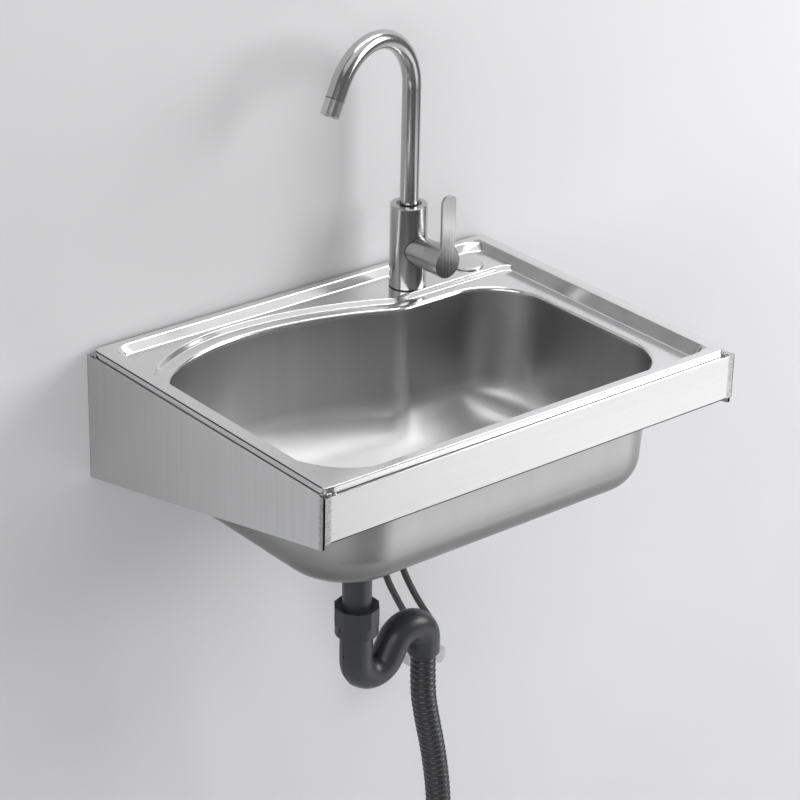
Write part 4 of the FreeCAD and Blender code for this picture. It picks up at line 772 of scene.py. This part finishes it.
def add_basin():
    bowl = kidney(RIM[1] - 43.0, 80.0, 75.0, 98.0)
    lip = outline(bowl)
    marks = np.linspace(0, len(lip), RING_POINTS, endpoint=False).astype(int)
    angles = np.sort(np.arctan2(lip[marks, 1] - DRAIN[1], lip[marks, 0] - DRAIN[0]))
    rings = Rings(angles)
    add_bowl_rings(rings, bowl)
    deck = Deck(angles)
    reach = deck_reaches(deck, reach_of(lip, angles))
    first = len(rings.rows)
    for row, z in zip(reach, deck.height(reach)):
        rings.add(row, z)
    last = len(rings.rows)
    edge = rectangle(*RIM, 10.0)
    for inset, drop in RIM_ROWS:
        rings.follow(edge, inset, RIM_Z - drop)

    grid = np.array(rings.rows)
    across = np.roll(grid, -1, axis=1) - np.roll(grid, 1, axis=1)
    facing = np.cross(np.gradient(grid, axis=0), across)
    facing[first:last] = deck_facing(deck, rings, reach)
    facing /= np.linalg.norm(facing, axis=2)[:, :, None]
    points = np.concatenate([grid.reshape(-1, 3), (grid - facing * GAUGE).reshape(-1, 3)]) * MM
    upper, rest = sheet_faces(points, len(rings.rows) * RING_POINTS)
    piece = piece_from("pressed_basin", points, upper + rest, "sink", basin_steel)
    piece.data.materials.append(basin_under.material)
    for face in piece.data.polygons[len(upper):]:
        face.material_index = 1
    every = np.concatenate([facing.reshape(-1, 3), -facing.reshape(-1, 3)])
    piece.data.normals_split_custom_set_from_vertices([tuple(n) for n in every])
    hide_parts("sink_basin")


add_basin()


# Small details: weld spots, dark lines of painted shade at the joints of the tap and the hole cover, and the
# trap's mould marks

def burnt_weld(name):
    """Bright metal with dark burnt spots."""
    made = Nodes(name).set(Metallic=1.0)
    spots = made.noise((700.0, 700.0, 700.0), 4.0, 0.7)
    made.colour(made.blend(made.fade(spots, 0.42, 0.58), (0.03, 0.028, 0.026), (0.78, 0.78, 0.77)))
    made.rough(made.span(spots, 0.45, 0.2, 0.3, 0.7))
    made.bump(spots, 0.5, 0.0003)
    return made


def add_lumps(name, rows, made):
    """Small uneven beads, each given by its place, its facing and its half sizes in millimetres."""
    shape = bmesh.new()
    for number, (place, facing, half) in enumerate(rows):
        turn = Vector(facing).to_track_quat("Z", "Y").to_matrix()
        for vert in bmesh.ops.create_icosphere(shape, subdivisions=3, radius=1.0)["verts"]:
            swell = 1.0 + 0.35 * noise.noise(vert.co * 1.7 + Vector((7.3 * number, 0.0, 0.0)))
            grown = Vector([a * b * swell for a, b in zip(vert.co, half)])
            vert.co = (Vector(place) + turn @ grown) * MM
    shape.verts.index_update()
    points = [tuple(v.co) for v in shape.verts]
    faces = [tuple(v.index for v in face.verts) for face in shape.faces]
    shape.free()
    piece_from(name, points, faces, "sink", made)


def add_welds():
    up = (0, 0, 1)
    add_lumps("corner_welds", [
        ((-292.0, -434.8, 83.2), up, (3.4, 3.0, 2.6)), ((-287.6, -436.4, 82.6), up, (2.8, 1.5, 1.5)),
        ((-281.6, -437.3, 81.8), up, (2.4, 1.1, 1.0)), ((-294.5, -430.4, 82.0), up, (1.2, 2.6, 1.2)),
        ((285.0, -434.8, 82.8), up, (2.8, 2.8, 2.2)), ((290.2, -436.6, 81.8), up, (2.6, 1.3, 1.2)),
        ((-294.6, -6.5, 82.2), up, (1.8, 2.4, 1.8)), ((-295.0, -12.0, 81.6), up, (1.0, 2.5, 1.0)),
    ], burnt_weld("burnt_weld"))


def add_shade_line(name, body, line, half, made):
    """A thin dark line of painted shade round a joint; each row is a point, the way out of the joint there
    and the joint's axis.
    """
    around = 10
    points = []
    for place, out, way in line:
        for lean in np.linspace(0.0, 2 * math.pi, around, endpoint=False):
            points.append((place + half * (out * math.cos(lean) + way * math.sin(lean))) * MM)
    faces = ring_faces(len(line), around)
    last = (len(line) - 1) * around
    for i in range(around):
        j = (i + 1) % around
        faces.append((last + i, last + j, j, i))
    piece_from(name, points, faces, body, made)


def circle(middle, radius, way, side):
    """Rows of a dark shade line round an axis: way runs along the axis and side across it."""
    rows = []
    for angle in np.linspace(0.0, 2 * math.pi, 120, endpoint=False):
        out = side * math.cos(angle) + np.cross(side, way) * math.sin(angle)
        rows.append((middle + radius * out, out, way))
    return rows


SLEEVE_Z = 131.2
SLEEVE_TURN = math.radians(2.5)
SLEEVE_END = 45.0
SPOUT_TURN = math.radians(194.0)
SPOUT_BEND = math.radians(150.0)
SPOUT_BEND_RADIUS = 73.6
SPOUT_BEND_Z = 81.7 + 250.5
OUTLET_JOINT = 16.4
UP = np.array((0.0, 0.0, 1.0))


def add_sleeve_shade_lines():
    """Dark lines of painted shade where the side sleeve meets the tap body and in the gap where it meets the
    handle's cup.
    """
    branch = np.array((*TAP, SLEEVE_Z))
    way = np.array((math.sin(SLEEVE_TURN), -math.cos(SLEEVE_TURN), 0.0))
    level = np.cross(way, UP)
    body_radius = 22.6
    rows = []
    for place, out, ahead in circle(branch, 17.9, way, level):
        across = (place - branch) @ level
        rows.append((place + math.sqrt(body_radius ** 2 - across ** 2) * ahead, out, ahead))
    # The black rubber finish of these rings is painted shade in the joints.
    add_shade_line("sleeve_seam_shade", "sink", rows, 0.6, black_rubber)
    rows = circle(branch + SLEEVE_END * way, 17.5, way, level)
    add_shade_line("cup_gap_shade", "sink", rows, 0.45, black_rubber)


def add_outlet_shade_line():
    """A dark line of painted shade at the joint where the outlet is screwed to the spout."""
    level = np.array((math.cos(SPOUT_TURN), math.sin(SPOUT_TURN), 0.0))
    way = level * math.sin(SPOUT_BEND) + UP * math.cos(SPOUT_BEND)
    bend = SPOUT_BEND_RADIUS * ((1 - math.cos(SPOUT_BEND)) * level + math.sin(SPOUT_BEND) * UP)
    end = np.array((*TAP, SPOUT_BEND_Z)) + bend
    rows = circle(end + OUTLET_JOINT * way, 11.1, way, np.cross(level, UP))
    # The black rubber finish of this ring is painted shade in the joint.
    add_shade_line("outlet_joint_shade", "spout", rows, 0.5, black_rubber)


def add_cover_shade_line():
    """A dark line of painted shade where the hole cover lies on the ledge."""
    rows = circle(np.array((*SPARE_HOLE, PLATEAU_Z + 0.2)), 19.1, UP, np.array((1.0, 0.0, 0.0)))
    # The black rubber finish of this ring is painted shade at the cover's edge.
    add_shade_line("cover_edge_shade", "sink", rows, 0.45, black_rubber)


TRAP_RADIUS = 20.0
TRAP_BEND = 25.0
TRAP_TOP = -251.0
TRAP_LOW = (25.0, -289.0)
TRAP_HIGH = (78.5, -296.0)
TRAP_LEAN = -29.53
TRAP_END = -314.0


def mould_line(side):
    """The trap's parting line in its upright plane, on the outer (1) or inner (-1) side of the low bend."""
    low = TRAP_BEND + side * TRAP_RADIUS
    high = TRAP_BEND - side * TRAP_RADIUS
    flat = [(-side * TRAP_RADIUS, TRAP_TOP)]
    for middle, reach, start, end in (
        (TRAP_LOW, low, 180, 360 + TRAP_LEAN), (TRAP_HIGH, high, 180 + TRAP_LEAN, 0),
    ):
        for angle in np.radians(np.linspace(start, end, 48)):
            flat.append((middle[0] + reach * math.cos(angle), middle[1] + reach * math.sin(angle)))
    flat.append((flat[-1][0], TRAP_END))
    return np.array([(DRAIN[0] + x, DRAIN[1], z) for x, z in flat]) * MM


def add_mould_marks():
    for side, name in ((1, "outer_mould_line"), (-1, "inner_mould_line")):
        points, faces = tube(mould_line(side), 1.2 * MM, lambda mark: 0.45 * MM, 10)[:2]
        piece_from(name, points, faces, "sink", grey_pvc)
    add_lumps("mould_tabs", [
        ((-108.6, -229.0, -240.5), (-1, -0.1, 0), (1.4, 2.2, 0.9)),
        ((-102.6, -229.0, -279.0), (-1, -0.1, 0), (1.4, 2.2, 0.9)),
        ((-29.5, -229.0, -259.4), (-0.59, -0.05, 0.81), (1.4, 2.0, 0.8)),
        ((20.3, -229.0, -258.8), (0.55, -0.05, 0.84), (1.5, 2.2, 0.9)),
        ((1.2, -229.0, -302.0), (-1, -0.1, 0), (1.4, 2.0, 0.8)),
        ((-91.0, -229.0, -318.6), (-0.75, -0.05, -0.66), (1.6, 2.2, 0.9)),
    ], black_rubber)


add_welds()
add_sleeve_shade_lines()
add_outlet_shade_line()
add_cover_shade_line()
add_mould_marks()


# Stage and light

def add_sheet(name, corners, faces, made):
    mesh = bpy.data.meshes.new(name)
    mesh.from_pydata(corners, [], faces)
    sheet = bpy.data.objects.new(name, mesh)
    bpy.context.collection.objects.link(sheet)
    mesh.materials.append(made.material)


def paint(name, rough, scale, low, high):
    """Matt paint with a faint cloud."""
    made = Nodes(name).set(Roughness=rough)
    cloud = made.span(made.noise((scale, scale, scale), 3.0), 0.0, 1.0, 0.3, 0.7)
    return made.colour(made.blend(cloud, low, high))


def clear_behind(made):
    """Lets the wall be looked through from behind."""
    clear = made.add("ShaderNodeBsdfTransparent")
    choice = made.add("ShaderNodeMixShader")
    side = made.add("ShaderNodeNewGeometry")
    made.link(side.outputs["Backfacing"], choice.inputs[0])
    made.link(made.shader.outputs["BSDF"], choice.inputs[1])
    made.link(clear.outputs["BSDF"], choice.inputs[2])
    made.link(choice.outputs["Shader"], made.output.inputs["Surface"])


STAGE_WIDTH = 4.0
STAGE_FLOOR = -1.1
STAGE_TOP = 3.0
FLANGE_OUTER = 0.2965
FLANGE_INNER = 0.2725
FLANGE_LOW = -0.0745
REAR_RAIL = (0.0515, 0.0805)


def add_wall():
    """A pale wall of cells, open only where the frame's flanges and rear rail lie flat against it."""
    made = paint("wall_paint", 0.6, 1.5, (0.76, 0.76, 0.77), (0.80, 0.80, 0.81))
    clear_behind(made)
    columns = (-STAGE_WIDTH, -FLANGE_OUTER, -FLANGE_INNER, FLANGE_INNER, FLANGE_OUTER, STAGE_WIDTH)
    rows = (STAGE_FLOOR, FLANGE_LOW, *REAR_RAIL, STAGE_TOP)
    open_cells = ((1, 1), (1, 2), (3, 1), (3, 2), (2, 2))
    corners = [(x, 0.0015, z) for z in rows for x in columns]
    faces = []
    for row in range(len(rows) - 1):
        for column in range(len(columns) - 1):
            first = row * len(columns) + column
            if (column, row) not in open_cells:
                faces.append((first, first + 1, first + len(columns) + 1, first + len(columns)))
    add_sheet("wall", corners, faces, made)


def add_floor():
    made = paint("floor_paint", 0.7, 2.0, (0.74, 0.74, 0.75), (0.78, 0.78, 0.79))
    front = -1.75
    rear = 0.5
    corners = [(x, y, STAGE_FLOOR) for x, y in (
        (-STAGE_WIDTH, front), (STAGE_WIDTH, front), (STAGE_WIDTH, rear), (-STAGE_WIDTH, rear),
    )]
    add_sheet("floor", corners, [(0, 1, 2, 3)], made)


def add_light(name, place, target, size, power):
    data = bpy.data.lights.new(name, "AREA")
    data.shape = "RECTANGLE"
    data.size, data.size_y = size
    data.energy = power
    lamp = bpy.data.objects.new(name, data)
    bpy.context.collection.objects.link(lamp)
    aim = (Vector(target) - Vector(place)).to_track_quat("-Z", "Y")
    lamp.matrix_world = Matrix.Translation(place) @ aim.to_matrix().to_4x4()


def add_world():
    world = bpy.data.worlds.new("studio")
    bpy.context.scene.world = world
    world.use_nodes = True
    tree = world.node_tree
    tree.nodes.clear()
    output = tree.nodes.new("ShaderNodeOutputWorld")
    sky = tree.nodes.new("ShaderNodeBackground")
    sky.inputs["Color"].default_value = (0.62, 0.62, 0.63, 1.0)
    sky.inputs["Strength"].default_value = 0.28
    tree.links.new(sky.outputs["Background"], output.inputs["Surface"])


add_wall()
add_floor()
add_world()
add_light("ceiling", (0.5, -1.3, 2.5), (0.5, -1.3, 0.0), (3.4, 1.8), 14.0)
add_light("wall_strip", (0.85, -0.12, 1.6), (0.85, -0.12, 0.0), (1.6, 0.24), 9.0)
add_light("key", (2.1, -1.7, 1.1), (0.0, -0.15, 0.0), (1.5, 1.5), 50.0)
add_light("front_card", (1.35, -1.75, -0.75), (0.0, -0.45, 0.05), (1.5, 0.5), 2.9)
add_light("low_card", (0.75, -1.35, -1.0), (0.0, -0.42, 0.0), (1.1, 0.35), 0.7)
add_light("back_card", (0.3, 1.6, 0.6), (0.0, 0.0, 0.0), (1.6, 1.0), 14.0)
add_light("left_card", (-2.0, -1.5, 0.8), (0.0, -0.2, -0.2), (2.2, 1.2), 22.0)
